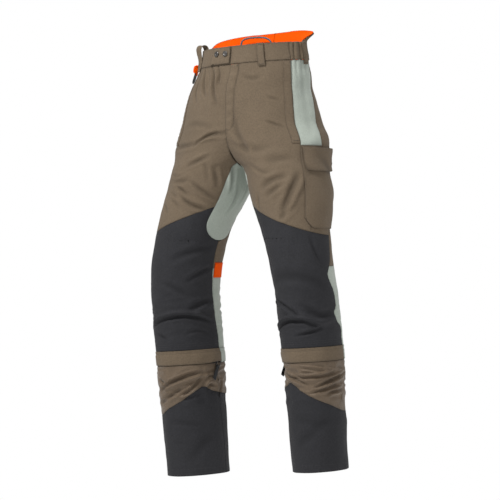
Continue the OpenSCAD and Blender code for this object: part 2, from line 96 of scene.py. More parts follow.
# Sections from hem to waist: height, centre x, centre y, half width, half depth, turn-out
SECTIONS = np.array([
    (-OUTSEAM, LEG_X, 29, HEM_W / 2, HEM_D / 2, TOE_OUT),
    (-RISE - 0.789 * INSEAM, LEG_X, 7, HEM_W / 2 + 3, HEM_D / 2 + 3, TOE_OUT),
    (-RISE - 0.591 * INSEAM, LEG_X, -12, KNEE_W / 2, KNEE_D / 2 - 1, TOE_OUT),
    (KNEE_Z, LEG_X - 2, -31, KNEE_W / 2, KNEE_D / 2, TOE_OUT),
    (-RISE - 0.382 * INSEAM, LEG_X - 5, -40, KNEE_W / 2 + 1, KNEE_D / 2, TOE_OUT),
    (-RISE - 0.297 * INSEAM, LEG_X - 14, -47, KNEE_W / 2 + 3, KNEE_D / 2 + 1, TOE_OUT),
    (-RISE - 0.2125 * INSEAM, LEG_X - 29, -44, KNEE_W / 2 + 7, KNEE_D / 2 + 3, TOE_OUT),
    (-RISE - 0.077 * INSEAM, LEG_X - 59, -20, 99, 110, 13),
    (-RISE, LEG_X - 76, -10, 103, 113, 11),
    (-RISE + 18, LEG_X - 88, -5, 112, 115, 10),
    (-RISE + 57, LEG_X - 108, 2, 131, 118, 8),
    (-RISE + 91, LEG_X - 132, 5, 149, 120, 6),
    (-RISE + 177, 28, 2, WAIST_W / 2 + 10, WAIST_D / 2 + 15, 3),
    (-BAND_H, 6, 0, WAIST_W / 2 + 2, WAIST_D / 2 + 6, 0),
    (0, 0, 0, WAIST_W / 2, WAIST_D / 2, 0),
    (YOKE_RISE, 0, 4, WAIST_W / 2 + YOKE_FLARE, WAIST_D / 2 + 4, 0)], float)


def smooth_curve(xs, ys):
    """A curve through the points that never overshoots them."""
    step = np.diff(xs)
    slope = np.diff(ys) / step
    knots = np.zeros(len(xs))
    same = slope[1:] * slope[:-1] > 0
    w0, w1 = 2 * step[1:] + step[:-1], step[1:] + 2 * step[:-1]
    with np.errstate(divide="ignore", invalid="ignore"):
        knots[1:-1] = np.where(same, (w0 + w1) / (w0 / slope[:-1] + w1 / slope[1:]), 0)
    knots[0], knots[-1] = slope[0], slope[-1]

    def curve(x):
        x = np.clip(x, xs[0], xs[-1])
        k = np.clip(np.searchsorted(xs, x) - 1, 0, len(step) - 1)
        h = step[k]
        s = (x - xs[k]) / h
        a, b = ys[k], ys[k + 1]
        return (a * (1 + 2 * s) * (1 - s) ** 2 + b * s * s * (3 - 2 * s)
                + h * s * (1 - s) * (knots[k] * (1 - s) - knots[k + 1] * s))
    return curve


CENTRE_X, CENTRE_Y, HALF_W, HALF_D, TURN = [
    smooth_curve(SECTIONS[:, 0], SECTIONS[:, k]) for k in range(1, 6)]


def ease(x, lo, hi):
    """0 before lo, 1 after hi, and smooth between them."""
    s = np.clip((x - lo) / (hi - lo), 0, 1)
    return s * s * (3 - 2 * s)


def centre_round(z):
    """How far the front and back are rounded over where the two halves meet."""
    return 13 * ease(z, -RISE + 4, -RISE + 60) * (1 - ease(z, -70, -BAND_H))


def opening(z, x):
    """Where a section is x from the middle plane, and how far it is turned, in radians."""
    psi = np.radians(TURN(z))
    p, q = HALF_W(z) * np.cos(psi), HALF_D(z) * np.sin(psi)
    return np.arccos(np.clip((CENTRE_X(z) - x) / np.hypot(p, q), -1, 1)), np.arctan2(q, p)


def t_front(z):
    opened, turned = np.degrees(opening(z, centre_round(z)))
    return opened - turned


def t_back(z):
    opened, turned = np.degrees(opening(z, centre_round(z)))
    return 360 - opened - turned


def t_at_x(z, x):
    """Angle of the front skin at a distance x from the middle plane."""
    opened, turned = opening(z, np.hypot(x, centre_round(z)))
    return np.degrees(opened - turned)


def hem_drop(side, z):
    share = np.where((np.asarray(side) > 0) & (z < -RISE), 1 - LEFT_LIFT / INSEAM, 1)
    return np.where(z < -RISE, -RISE + (z + RISE) * share, z)


def cad_skin(side, t, z):
    """The CAD model's skin: t 0 inner side, 90 front, 180 outer side, 270 back."""
    a, b, psi = HALF_W(z), HALF_D(z), np.radians(TURN(z))
    u, v = -a * np.cos(np.radians(t)), -b * np.sin(np.radians(t))
    x = CENTRE_X(z) + u * np.cos(psi) - v * np.sin(psi)
    y = CENTRE_Y(z) + u * np.sin(psi) + v * np.cos(psi)
    x = side * np.sqrt(np.maximum(x, 0) ** 2 - np.minimum(centre_round(z), np.maximum(x, 0)) ** 2)
    return np.stack([x, y, hem_drop(side, z)], -1)


def smooth_skin(side, t, z):
    """The garment before it creases, hanging a little off the CAD model's even stance."""
    x, y, h = np.moveaxis(cad_skin(side, t, z), -1, 0)
    p = np.stack([x + sway(side, t, z), y, h + tilt(side, x, y, z)], -1)
    return p + fullness(side, t, z)[..., None] * outward(side, t, z)


def sway(side, t, z):
    """The hips hang a little to the wearer's right, but the pocket side stays put."""
    high = 1 - ease(z, -120, -BAND_H - 10)
    shift = -9 * ease(z, -335, -235) * high
    held = -9 * ease(z, HIP_CUT + 5, -190) * high
    middle = 1 - ease(t, 66, 125) * (1 - ease(t, 235, 270))
    return shift * middle + held * (1 - middle) if side > 0 else shift


def fullness(side, t, z):
    """Cloth pushed out below the band at both sides, and where the elastic gathers it."""
    below = (6 if side > 0 else 1) * np.exp(-((z + 84) / 30) ** 2) * np.exp(-((t - 180) / 45) ** 2)
    band = 9 * ease(z, -70, -30) * np.exp(-((t - 192) / 30) ** 2) if side > 0 else 0
    rim = (13 if side > 0 else 4) * ease(z, 0, 30) * np.exp(-((t - 204) / 24) ** 2)
    tuck = 7 * np.exp(-((z + 822) / 32) ** 2) * np.exp(-(wrap(t + 15) / 55) ** 2) if side > 0 else 0
    return below + band + rim - tuck


def tilt(side, x, y, z):
    """The waist and the lower legs slope down a little to the wearer's right."""
    across = 0.85 * x + 0.53 * y
    waist = (0.07 * across - 1.5) * ease(z, -230, -50)
    leg = 0.06 * (across - side * 0.85 * CENTRE_X(z)) * (1 - ease(z, KNEE_Z - 70, KNEE_Z))
    return waist + leg


def outward(side, t, z):
    """Unit direction that the smooth skin faces, level."""
    psi = np.radians(TURN(z))
    u = -np.cos(np.radians(t)) * HALF_D(z)
    v = -np.sin(np.radians(t)) * HALF_W(z)
    x, y = u * np.cos(psi) - v * np.sin(psi), u * np.sin(psi) + v * np.cos(psi)
    size = np.hypot(x, y)
    return np.stack([side * x / size, y / size, np.zeros_like(x)], -1)


# ---- Creases ----


def wrap(angle):
    return (angle + 180) % 360 - 180


def arc_per_degree(t, z):
    """Millimetres of cloth to one degree of angle."""
    t = np.radians(t)
    return np.radians(np.hypot(HALF_W(z) * np.sin(t), HALF_D(z) * np.cos(t)))


# Folds in the cloth of each half: depth, width, how far the ridge stands above and below the
# valley, then the angle and height of the valley's start, middle and end
FOLDS_RIGHT = (
    # Hip and thigh
    (3.4, 6, 0.5, 0.9, 68, -224, 83, -226, 92, -250), (2.2, 7, 0.4, 0.9, 138, -254, 108, -250, 88, -244),
    (2.4, 7, 0.9, 0.3, 90, -302, 76, -290, 64, -276), (1.8, 7, 0.6, 0.9, 108, -334, 90, -339, 74, -334),
    (3.0, 5, 0.4, 0.9, 72, -338, 47, -366, 24, -386), (3.4, 5, 0.9, 0.6, 80, -374, 60, -396, 32, -410),
    (2.6, 4, 0.9, 0.6, 96, -350, 80, -362, 67, -377), (1.8, 4, 0.7, 0.7, 98, -384, 86, -392, 74, -408),
    (2.2, 6, 0.7, 0.5, 46, -306, 37, -330, 31, -354), (1.6, 5, 0.6, 0.6, 118, -392, 106, -404, 96, -420),
    (1.5, 4, 0.7, 0.7, 112, -318, 100, -326, 86, -322), (1.4, 4, 0.7, 0.7, 104, -366, 94, -372, 84, -386),
    (1.4, 5, 0.7, 0.7, 62, -296, 54, -312, 46, -338), (1.3, 8, 0.6, 0.6, 124, -200, 104, -196, 84, -208),
    # Pleats below the front waistband, and beside the fly
    (4.0, 4, 0.9, 0.7, 127, -46, 117, -84, 104, -122), (3.6, 4, 0.9, 0.7, 113, -46, 99, -96, 86, -150),
    (2.6, 3, 0.9, 0.7, 103, -46, 98, -72, 93, -96), (2.2, 5, 0.8, 0.6, 134, -50, 127, -100, 116, -136),
    # Gussets
    (3.2, 5, 0.8, 0.8, 25, -290, 14, -328, 9, -366), (1.8, 6, 0.8, 0.8, 6, -330, -4, -376, -2, -420),
    (1.6, 5, 0.8, 0.8, -14, -320, -22, -356, -20, -400),
    # Knee
    (5.0, 5, 1.1, 0.3, 114, -700, 46, -674, -8, -692), (2.2, 4, 0.6, 0.5, 100, -712, 86, -722, 74, -732),
    (2.0, 9, 0.6, 0.6, 64, -538, 34, -516, -2, -500), (2.4, 6, 0.7, 0.5, 34, -590, 14, -566, -6, -554),
    (1.8, 8, 0.6, 0.6, 80, -590, 50, -608, 27, -628), (2.8, 8, 0.4, 0.9, 34, -666, 12, -644, -10, -632),
    (1.6, 5, 0.6, 0.6, 40, -720, 20, -712, 0, -722),
    # Shin
    (4.6, 5, 0.5, 1.1, 112, -864, 56, -830, 16, -817), (2.8, 6, 0.7, 0.7, 112, -892, 75, -870, 54, -852),
    (2.8, 4, 0.6, 0.8, 60, -872, 37, -856, 20, -826), (2.0, 4, 0.6, 0.6, 116, -826, 96, -836, 84, -848),
    (2.2, 4, 0.8, 0.6, 15, -846, 3, -828, -10, -838), (2.4, 4, 0.8, 0.6, 12, -870, 4, -850, -8, -856),
    (2.2, 4, 0.8, 0.6, -16, -832, -24, -852, -13, -874),
    # Gaiters
    (1.5, 7, 0.5, 0.5, 84, -938, 48, -944, 18, -954), (1.1, 3, 0.5, 0.5, 79, -990, 60, -993, 41, -994),
    (1.6, 14, 0.5, 0.5, 50, -1040, 24, -1000, 4, -976),
    # Back of the garment
    (2.6, 7, 0.6, 0.6, 334, -304, 302, -290, 270, -284), (2.4, 8, 0.6, 0.6, 316, -346, 280, -338, 246, -344),
    (2.0, 9, 0.6, 0.6, 312, -428, 272, -408, 232, -402), (3.4, 6, 0.7, 0.7, 204, -660, 258, -650, 324, -666),
    (2.6, 6, 0.7, 0.7, 210, -626, 262, -614, 310, -620), (2.4, 6, 0.7, 0.7, 214, -712, 258, -700, 312, -706),
    (3.0, 5, 0.7, 0.7, 170, -836, 236, -846, 300, -834), (2.6, 5, 0.7, 0.7, 160, -866, 210, -872, 262, -860),
)
FOLDS_LEFT = (
    # Hip, and beside the fly
    (2.2, 9, 0.5, 0.8, 84, -176, 77, -234, 66, -276), (1.8, 4, 0.9, 0.5, 112, -192, 120, -200, 129, -209),
    (1.3, 4, 0.8, 0.4, 120, -133, 126, -138, 132, -143), (1.4, 6, 0.6, 0.6, 98, -72, 110, -86, 120, -82),
    (1.6, 9, 0.6, 0.6, 88, -296, 104, -286, 122, -284),
    # Thigh
    (2.6, 7, 0.9, 0.5, 64, -362, 87, -340, 109, -328), (2.2, 6, 0.5, 0.9, 70, -380, 87, -364, 101, -346),
    (4.2, 8, 0.5, 0.9, 127, -322, 108, -378, 90, -432), (1.8, 5, 0.7, 0.5, 56, -374, 51, -394, 47, -414),
    (1.6, 6, 0.5, 0.8, 112, -402, 100, -424, 84, -436), (1.6, 10, 0.6, 0.6, 60, -250, 80, -262, 104, -252),
    (1.3, 7, 0.6, 0.6, 58, -300, 74, -318, 92, -316),
    # Gussets
    (2.4, 5, 0.8, 0.8, 22, -300, 8, -336, -6, -372), (1.8, 6, 0.8, 0.8, -10, -330, -20, -376, -16, -420),
    # Knee
    (3.4, 5, 0.4, 1.0, 18, -636, 60, -656, 97, -688), (3.6, 10, 0.4, 1.1, 102, -658, 128, -678, 162, -668),
    (5.2, 5, 1.1, 0.4, 17, -724, 71, -692, 128, -707), (3.2, 4, 0.9, 0.4, 80, -728, 108, -720, 134, -709),
    (2.0, 6, 0.6, 0.6, 133, -480, 138, -516, 148, -552), (2.2, 14, 0.5, 0.5, 22, -600, 94, -582, 152, -610),
    # Shin
    (3.0, 4, 0.6, 0.9, 41, -824, 70, -838, 94, -852), (3.6, 4, 0.9, 0.6, 69, -832, 111, -834, 158, -823),
    (3.8, 4, 0.7, 1.0, 109, -862, 140, -846, 184, -829), (3.2, 4, 0.6, 0.9, 99, -876, 128, -866, 166, -855),
    (2.6, 4, 0.7, 0.8, 130, -882, 150, -874, 178, -872), (2.0, 4, 0.7, 0.6, 176, -880, 170, -892, 176, -906),
    # Gaiters
    (1.6, 12, 0.5, 0.5, 60, -1010, 92, -982, 140, -940), (1.4, 12, 0.5, 0.5, 60, -930, 96, -950, 130, -946),
    # Back of the garment
    (2.6, 7, 0.6, 0.6, 334, -300, 306, -282, 276, -272), (2.4, 8, 0.6, 0.6, 318, -350, 286, -332, 248, -330),
    (2.0, 9, 0.6, 0.6, 310, -420, 276, -404, 236, -412), (3.4, 6, 0.7, 0.7, 206, -668, 262, -648, 322, -660),
    (2.6, 6, 0.7, 0.7, 212, -620, 256, -610, 306, -626), (2.4, 6, 0.7, 0.7, 214, -706, 262, -694, 310, -712),
    (3.0, 5, 0.7, 0.7, 206, -842, 250, -832, 306, -846), (2.6, 5, 0.7, 0.7, 214, -872, 258, -860, 312, -868),
)
FOLDS = {RIGHT: FOLDS_RIGHT, LEFT: FOLDS_LEFT}


def fold_height(side, t, z):
    """Valleys and ridges of the folds at each point of the cloth."""
    total = np.zeros(t.shape)
    for deep, wide, above, below, *places in FOLDS[side]:
        start, middle, end = np.array(places, float).reshape(3, 2)
        deep = deep * (1.6 if GAITER_Z - 50 < middle[1] < ZIP_Z else 1.5)
        scale = np.array([float(arc_per_degree(middle[0], middle[1])), 1.0])
        k = np.linspace(0, 1, 33)[:, None]
        bow = 2 * middle - (start + end) / 2
        curve = ((1 - k) ** 2 * start + 2 * k * (1 - k) * bow + k * k * end - middle) * scale
        reach = np.abs(curve).max(0) + 3.5 * wide
        s, h = wrap(t - middle[0]) * scale[0], z - middle[1]
        near = (np.abs(s) < reach[0]) & (np.abs(h) < reach[1])
        if not near.any():
            continue
        gap = np.stack([s[near], h[near]], -1)[:, None, :] - curve
        size = np.hypot(gap[..., 0], gap[..., 1])
        best = size.argmin(1)
        nearest = np.arange(len(best)), best
        ahead, g, q = np.gradient(curve, axis=0)[best], gap[nearest], size[nearest] / wide
        up = np.sign((ahead[:, 0] * g[:, 1] - ahead[:, 1] * g[:, 0]) * np.sign(ahead[:, 0] + 1e-9))
        fade = np.sin(np.pi * (best + 1) / 34) ** 0.8
        ridge = np.where(up > 0, above, below)
        total[near] += deep * fade * (ridge * np.exp(-((q - 1.7) / 0.85) ** 2) - np.exp(-q * q))
    return total


def value_noise(p, cell, seed):
    """Smooth repeatable noise from -1 to 1 at 3D points."""
    q = p / cell
    base = np.floor(q).astype(np.int64)
    f = q - base
    f = f * f * (3 - 2 * f)
    total = np.zeros(p.shape[:-1])
    for corner in range(8):
        o = np.array([corner & 1, corner >> 1 & 1, corner >> 2 & 1])
        i = base + o
        h = (i[..., 0] * 374761393 + i[..., 1] * 668265263 + i[..., 2] * 2147483647 + seed * 974634777)
        h = (h ^ (h >> 13)) * 1274126177
        total += np.prod(np.where(o, f, 1 - f), axis=-1) * (((h ^ (h >> 16)) & 65535) / 32767.5 - 1)
    return total


def crumple(side, t, z):
    """Fine folds across the light cloth of the shins, and a soft unevenness elsewhere."""
    s = t * arc_per_degree(90.0, z)
    p = np.stack([s * 0.42, z + 0.16 * s, np.full(t.shape, 300.0 * side)], -1)
    p[..., 1] += 5 * value_noise(p, 31.0, 11)
    sharp = 1 - 2 * np.abs(value_noise(p, 13.0, 7))
    s_seam = wrap(t - 17) * arc_per_degree(17.0, z)
    shin = ease(z, GAITER_Z - 8, GAITER_Z + 25) * (1 - ease(z, ZIP_Z - 30, ZIP_Z - 16))
    knee = 0.3 * ease(z, FLAP_TOP, FLAP_TOP + 50) * (1 - ease(z, KNEE_Z, THIGH_END))
    seam = (1.4 * np.exp(-(s_seam / 1.6) ** 2) * shin if side < 0 else 0)
    return 2.3 * (shin + knee) * sharp - seam


def fly_edge(t, z):
    """The stitched J beside the fly is drawn in, and the cloth between is a little full."""
    x = cad_skin(LEFT, t, z)[..., 0]
    start, turn, end = -BAND_H, -RISE + 122, -RISE + 91
    k = np.clip((z - end) / (turn - end), 0, 1)
    edge = 24 * np.sqrt(1 - (1 - k) ** 2)
    inside = (z < start) & (z > end - 4) & (t < 110)
    gap = np.where(inside, x - edge, 99)
    full = 1.2 * np.exp(-((x - edge * 0.55) / 8) ** 2) * inside * (1 + np.sin(z / 4.5))
    return -2.2 * np.exp(-(gap / 2.2) ** 2) + full


def skin(side, t, z):
    t, z = np.broadcast_arrays(np.asarray(t, float), np.asarray(z, float))
    p = smooth_skin(side, t, z)
    calm = 1 - 0.75 * ease(z, -BAND_H - 25, -BAND_H)
    lift = fold_height(side, t, z) + crumple(side, t, z)
    lift = lift + calm * (1.9 * value_noise(p, 52.0, 3) + 0.7 * value_noise(p, 19.0, 5))
    if side == LEFT:
        lift = lift + fly_edge(t, z)
    push = lift[..., None] * outward(side, t, z)
    # The two halves are sewn together in the middle, so they stay in touch there
    free = ease(np.abs(cad_skin(side, t, z)[..., 0]), 0, 14)
    push[..., 0] = push[..., 0] * free - side * 0.3 * (1 - free)
    return p + push


def shadow(side, t, z):
    """How much painted shade goes into the deep creases and the fly's J groove, from 0 to 1."""
    depth = fold_height(side, t, z) + 0.7 * crumple(side, t, z)
    # Painted shade: the deeper a valley, the darker its colour is painted
    mark = np.clip(-depth / 3.6, 0, 0.7)
    if side == LEFT:
        # The J groove beside the fly gets painted shade as well
        mark = mark + np.clip(-fly_edge(t, z) / 2.2, 0, 1)
    return mark


# ---- Materials ----


def linear(r, g, b):
    """Screen colour, 0 to 255, as the linear colour that Blender mixes in."""
    return [((c / 255 + 0.055) / 1.055) ** 2.4 if c > 10 else c / 3295 for c in (r, g, b)] + [1]


def tone(colour, gain, plus=0):
    return [min(1, c * gain + plus) for c in colour[:3]] + [1]


class Nodes:
    """A material's node tree, with short calls to add and join nodes."""

    def __init__(self, name):
        self.material = bpy.data.materials.new(name)
        self.material.use_nodes = True
        self.tree = self.material.node_tree
        self.shader = self.tree.nodes["Principled BSDF"]
        self.place = self.add("TexCoord").outputs["Object"]

    def join(self, socket, value):
        if isinstance(value, bpy.types.NodeSocket):
            self.tree.links.new(value, socket)
        else:
            socket.default_value = value

    def add(self, kind, inputs=None, **settings):
        node = self.tree.nodes.new("ShaderNode" + kind)
        for key, value in settings.items():
            setattr(node, key, value)
        for key, value in (inputs or {}).items():
            self.join(node.inputs[key], value)
        return node

    def finish(self, **values):
        for key, value in values.items():
            self.join(self.shader.inputs[key.replace("_", " ")], value)
        return self.material

    def math(self, operation, a, b=0.0):
        return self.add("Math", {0: a, 1: b}, operation=operation).outputs[0]

    def times(self, a, b):
        return self.math("MULTIPLY", a, b)

    def plus(self, a, b):
        return self.math("ADD", a, b)

    def mix(self, share, a, b):
        return self.add("Mix", {0: share, 6: a, 7: b}, data_type="RGBA").outputs[2]

    def noise(self, scale, detail):
        return self.add("TexNoise", {"Vector": self.place, "Scale": scale, "Detail": detail}).outputs[0]

    def bump(self, height, strength, depth):
        return self.add("Bump", {"Height": height, "Strength": strength, "Distance": depth * MM}).outputs[0]


def cloth_material(name, colour, weave, pitch=0.9, depth=0.12, rough=0.86, sheen=0.05, blotch=0.10,
                   shine=0.25):
    """Woven or knitted cloth. The weave follows each panel's own grain, in metres."""
    n = Nodes(name)
    grain = n.add("SeparateXYZ", {0: n.add("UVMap").outputs[0]})
    u, v = grain.outputs[0], grain.outputs[1]

    def wave(value):
        return n.math("SINE", n.times(value, 2 * math.pi / (pitch * MM)))
    if weave == "twill":
        diagonal, thread = wave(n.plus(u, n.times(v, 0.6))), wave(n.times(v, 1.7))
        height = n.plus(n.times(diagonal, 0.7), n.times(thread, 0.3))
    elif weave == "knit":
        rib = n.math("ABSOLUTE", wave(n.times(u, 0.5)))
        row = wave(n.plus(v, n.times(rib, 0.3 * pitch * MM)))
        height = n.plus(n.times(rib, 0.6), n.times(row, 0.4))
    else:
        height = n.times(wave(u), wave(v))
    fibre, patchy, slub = n.noise(900.0, 3.0), n.noise(16.0, 5.0), n.noise(300.0, 4.0)
    mottle = n.plus(patchy, n.times(n.math("SUBTRACT", slub, 0.5), 2.6))
    base = linear(*colour)
    dark, light = tone(base, 1 - 2 * blotch), tone(base, 1 + blotch)
    woven = n.mix(n.times(n.plus(height, 1.0), 0.12), n.mix(mottle, dark, light), dark)
    fuzz = n.mix(n.times(fibre, 0.18), woven, light)
    # The seam attribute darkens the colour towards 45 per cent: dark seam lines, and painted shade in
    # creases and valleys
    seam_lines_and_painted_shade = n.add("Attribute", attribute_name="seam").outputs["Fac"]
    return n.finish(Base_Color=n.mix(n.times(seam_lines_and_painted_shade, 0.65), fuzz, tone(base, 0.45)), Roughness=rough,
                    Specular_IOR_Level=shine, Sheen_Weight=sheen, Sheen_Roughness=0.5,
                    Normal=n.bump(n.plus(height, n.times(fibre, 0.8)), 0.5, depth))


def thread_material(name, colour):
    n = Nodes(name)
    ply = n.add("TexWave", {"Vector": n.place, "Scale": 900.0, "Distortion": 2.0}).outputs["Fac"]
    base = linear(*colour)
    return n.finish(Base_Color=n.mix(ply, base, tone(base, 0.7)), Roughness=0.55, Sheen_Weight=0.1,
                    Normal=n.bump(ply, 0.4, 0.1))


def metal_material(name, colour, rough):
    n = Nodes(name)
    rub, wear, base = n.noise(600.0, 4.0), n.noise(120.0, 6.0), linear(*colour)
    return n.finish(Base_Color=n.mix(n.times(wear, 0.5), base, tone(base, 2.2)), Metallic=0.9,
                    Roughness=n.plus(n.times(rub, 0.25), rough), Normal=n.bump(rub, 0.25, 0.05))


def plastic_material(name, colour, rough):
    n = Nodes(name)
    grain, scuff, base = n.noise(1500.0, 2.0), n.noise(200.0, 6.0), linear(*colour)
    return n.finish(Base_Color=n.mix(n.times(scuff, 0.3), base, tone(base, 2, 0.01)),
                    Roughness=n.plus(n.times(scuff, 0.2), rough), Normal=n.bump(grain, 0.3, 0.05))


# Each cloth: its colour, its thread's colour, and its weave and finish
CLOTHS = {
    "taupe_twill": ((108, 94, 77), (96, 86, 73), dict(weave="twill")),
    "light_taupe": ((102, 86, 68), (88, 75, 60),
                    dict(weave="plain", pitch=0.6, rough=0.58, sheen=0.1, shine=0.4)),
    "charcoal_guard": ((45, 45, 48), (38, 38, 40),
                       dict(weave="plain", pitch=0.7, rough=0.82, sheen=0.02, blotch=0.12)),
    "sage_stretch": ((168, 176, 166), (150, 159, 151),
                     dict(weave="knit", pitch=0.8, sheen=0.2, blotch=0.07)),
    "orange_cloth": ((252, 88, 0), (225, 80, 10),
                     dict(weave="plain", pitch=0.8, sheen=0.0, blotch=0.05, shine=0.08)),
    "black_tape": ((30, 30, 32), (24, 24, 25), dict(weave="twill", pitch=1.2, depth=0.2, rough=0.7)),
    "grey_lining": ((96, 108, 122), (80, 90, 102), dict(weave="plain", pitch=0.8)),
}
CLOTH = {name: (cloth_material(name, colour, **weave), thread_material(name + "_thread", thread))
         for name, (colour, thread, weave) in CLOTHS.items()}
NICKEL = metal_material("dark_nickel", (88, 86, 84), 0.28)
BLACK_PLASTIC = plastic_material("black_plastic", (26, 26, 27), 0.38)

# ---- Meshes ----


def unit(v):
    return v / np.maximum(np.linalg.norm(v, axis=-1, keepdims=True), 1e-9)


def lengths(path):
    """Distance along a path at each of its points."""
    return np.concatenate([[0], np.cumsum(np.linalg.norm(np.diff(path, axis=0), axis=1))])


def resample(s, arc, values):
    return np.stack([np.interp(s, arc, values[:, k]) for k in range(3)], 1)


class Build:
    """Collects vertices, faces, grain coordinates and materials for one piece."""

    def __init__(self, side=0):
        self.side = side
        self.verts, self.faces, self.uvs, self.seam, self.slots = [], [], [], [], []
        self.count = 0

    def add(self, verts, faces, slot=0, uv=None, seam=None):
        verts = np.asarray(verts, float).reshape(-1, 3)
        faces = np.asarray(faces, int)
        self.faces += (faces + self.count).tolist()
        self.slots += [slot] * len(faces)
        self.verts.append(verts)
        self.uvs.append(verts[:, [0, 2]] * MM if uv is None else np.asarray(uv).reshape(-1, 2) * MM)
        self.seam.append(np.zeros(len(verts)) if seam is None else np.asarray(seam).ravel())
        self.count += len(verts)

    def stitches(self, centre, direction, normal, long, wide):
        """Each stitch is a small spindle of thread lying on the cloth."""
        s = np.cross(direction, normal)
        half, w, h = long / 2, wide / 2, wide * 0.4
        ring = [centre - half * direction, centre + half * direction,
                centre + w * s, centre + h * normal, centre - w * s, centre - h * normal]
        one = np.array([[0, 2, 3], [0, 3, 4], [0, 4, 5], [0, 5, 2],
                        [1, 3, 2], [1, 4, 3], [1, 5, 4], [1, 2, 5]])
        faces = one[None] + 6 * np.arange(len(centre))[:, None, None]
        self.add(np.stack(ring, 1), faces.reshape(-1, 3), 1)

    def piece(self, name, cloth, body, *nodes, second=None, smooth=True):
        """Makes the piece. body is a body's name, or a function that is given the piece and its side.
        A name that ends in _ is completed with the side's."""
        name, body, *nodes = (n + NAMES[self.side] if str(n).endswith("_") else n
                              for n in (name, body, *nodes))
        mesh = bpy.data.meshes.new(name)
        mesh.from_pydata((np.concatenate(self.verts) * MM).tolist(), [], self.faces)
        mesh.polygons.foreach_set("material_index", np.array(self.slots, np.int32))
        mesh.polygons.foreach_set("use_smooth", np.full(len(self.faces), smooth))
        corner = np.zeros(len(mesh.loops), np.int32)
        mesh.loops.foreach_get("vertex_index", corner)
        uv = np.concatenate(self.uvs)[corner].astype(np.float32)
        mesh.uv_layers.new(name="grain").data.foreach_set("uv", uv.ravel())
        # The seam attribute holds how much darker to paint each point: seam lines, and painted shade in
        # creases and valleys
        seam = mesh.attributes.new("seam", "FLOAT", "POINT")
        seam.data.foreach_set("value", np.concatenate(self.seam).astype(np.float32))
        mesh.materials.append(CLOTH[cloth][0])
        mesh.materials.append(second or CLOTH[cloth][1])
        mesh.update()
        piece = bpy.data.objects.new(name, mesh)
        bpy.context.scene.collection.objects.link(piece)
        if nodes:
            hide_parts(*nodes)
        if callable(body):
            body(piece, self.side)
        else:
            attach(piece, body)


FINE = (0, 0.35, 0.9, 1.8, 3.5)  # distances of the grid lines beside an edge, where it turns in


def grid_lines(length, cell):
    """Grid lines from 0 to 1, closer together near both ends."""
    close = np.array([f for f in FINE if f < length * 0.3]) / length
    start = close[-1]
    count = max(2, int(round(length * (1 - 2 * start) / cell)))
    middle = np.linspace(start, 1 - start, count + 1)
    return np.concatenate([close[:-1], middle, 1 - close[:-1][::-1]])


def at(f, x):
    return f(x) if callable(f) else np.full(np.shape(x), float(f))


def grid_normals(p, side):
    return unit(np.cross(np.gradient(p, axis=1), np.gradient(p, axis=0))) * side


def quads(rows, cols, offset=0):
    k = (np.arange(rows - 1)[:, None] * cols + np.arange(cols - 1)[None, :]).ravel() + offset
    return np.stack([k, k + 1, k + cols + 1, k + cols], 1)


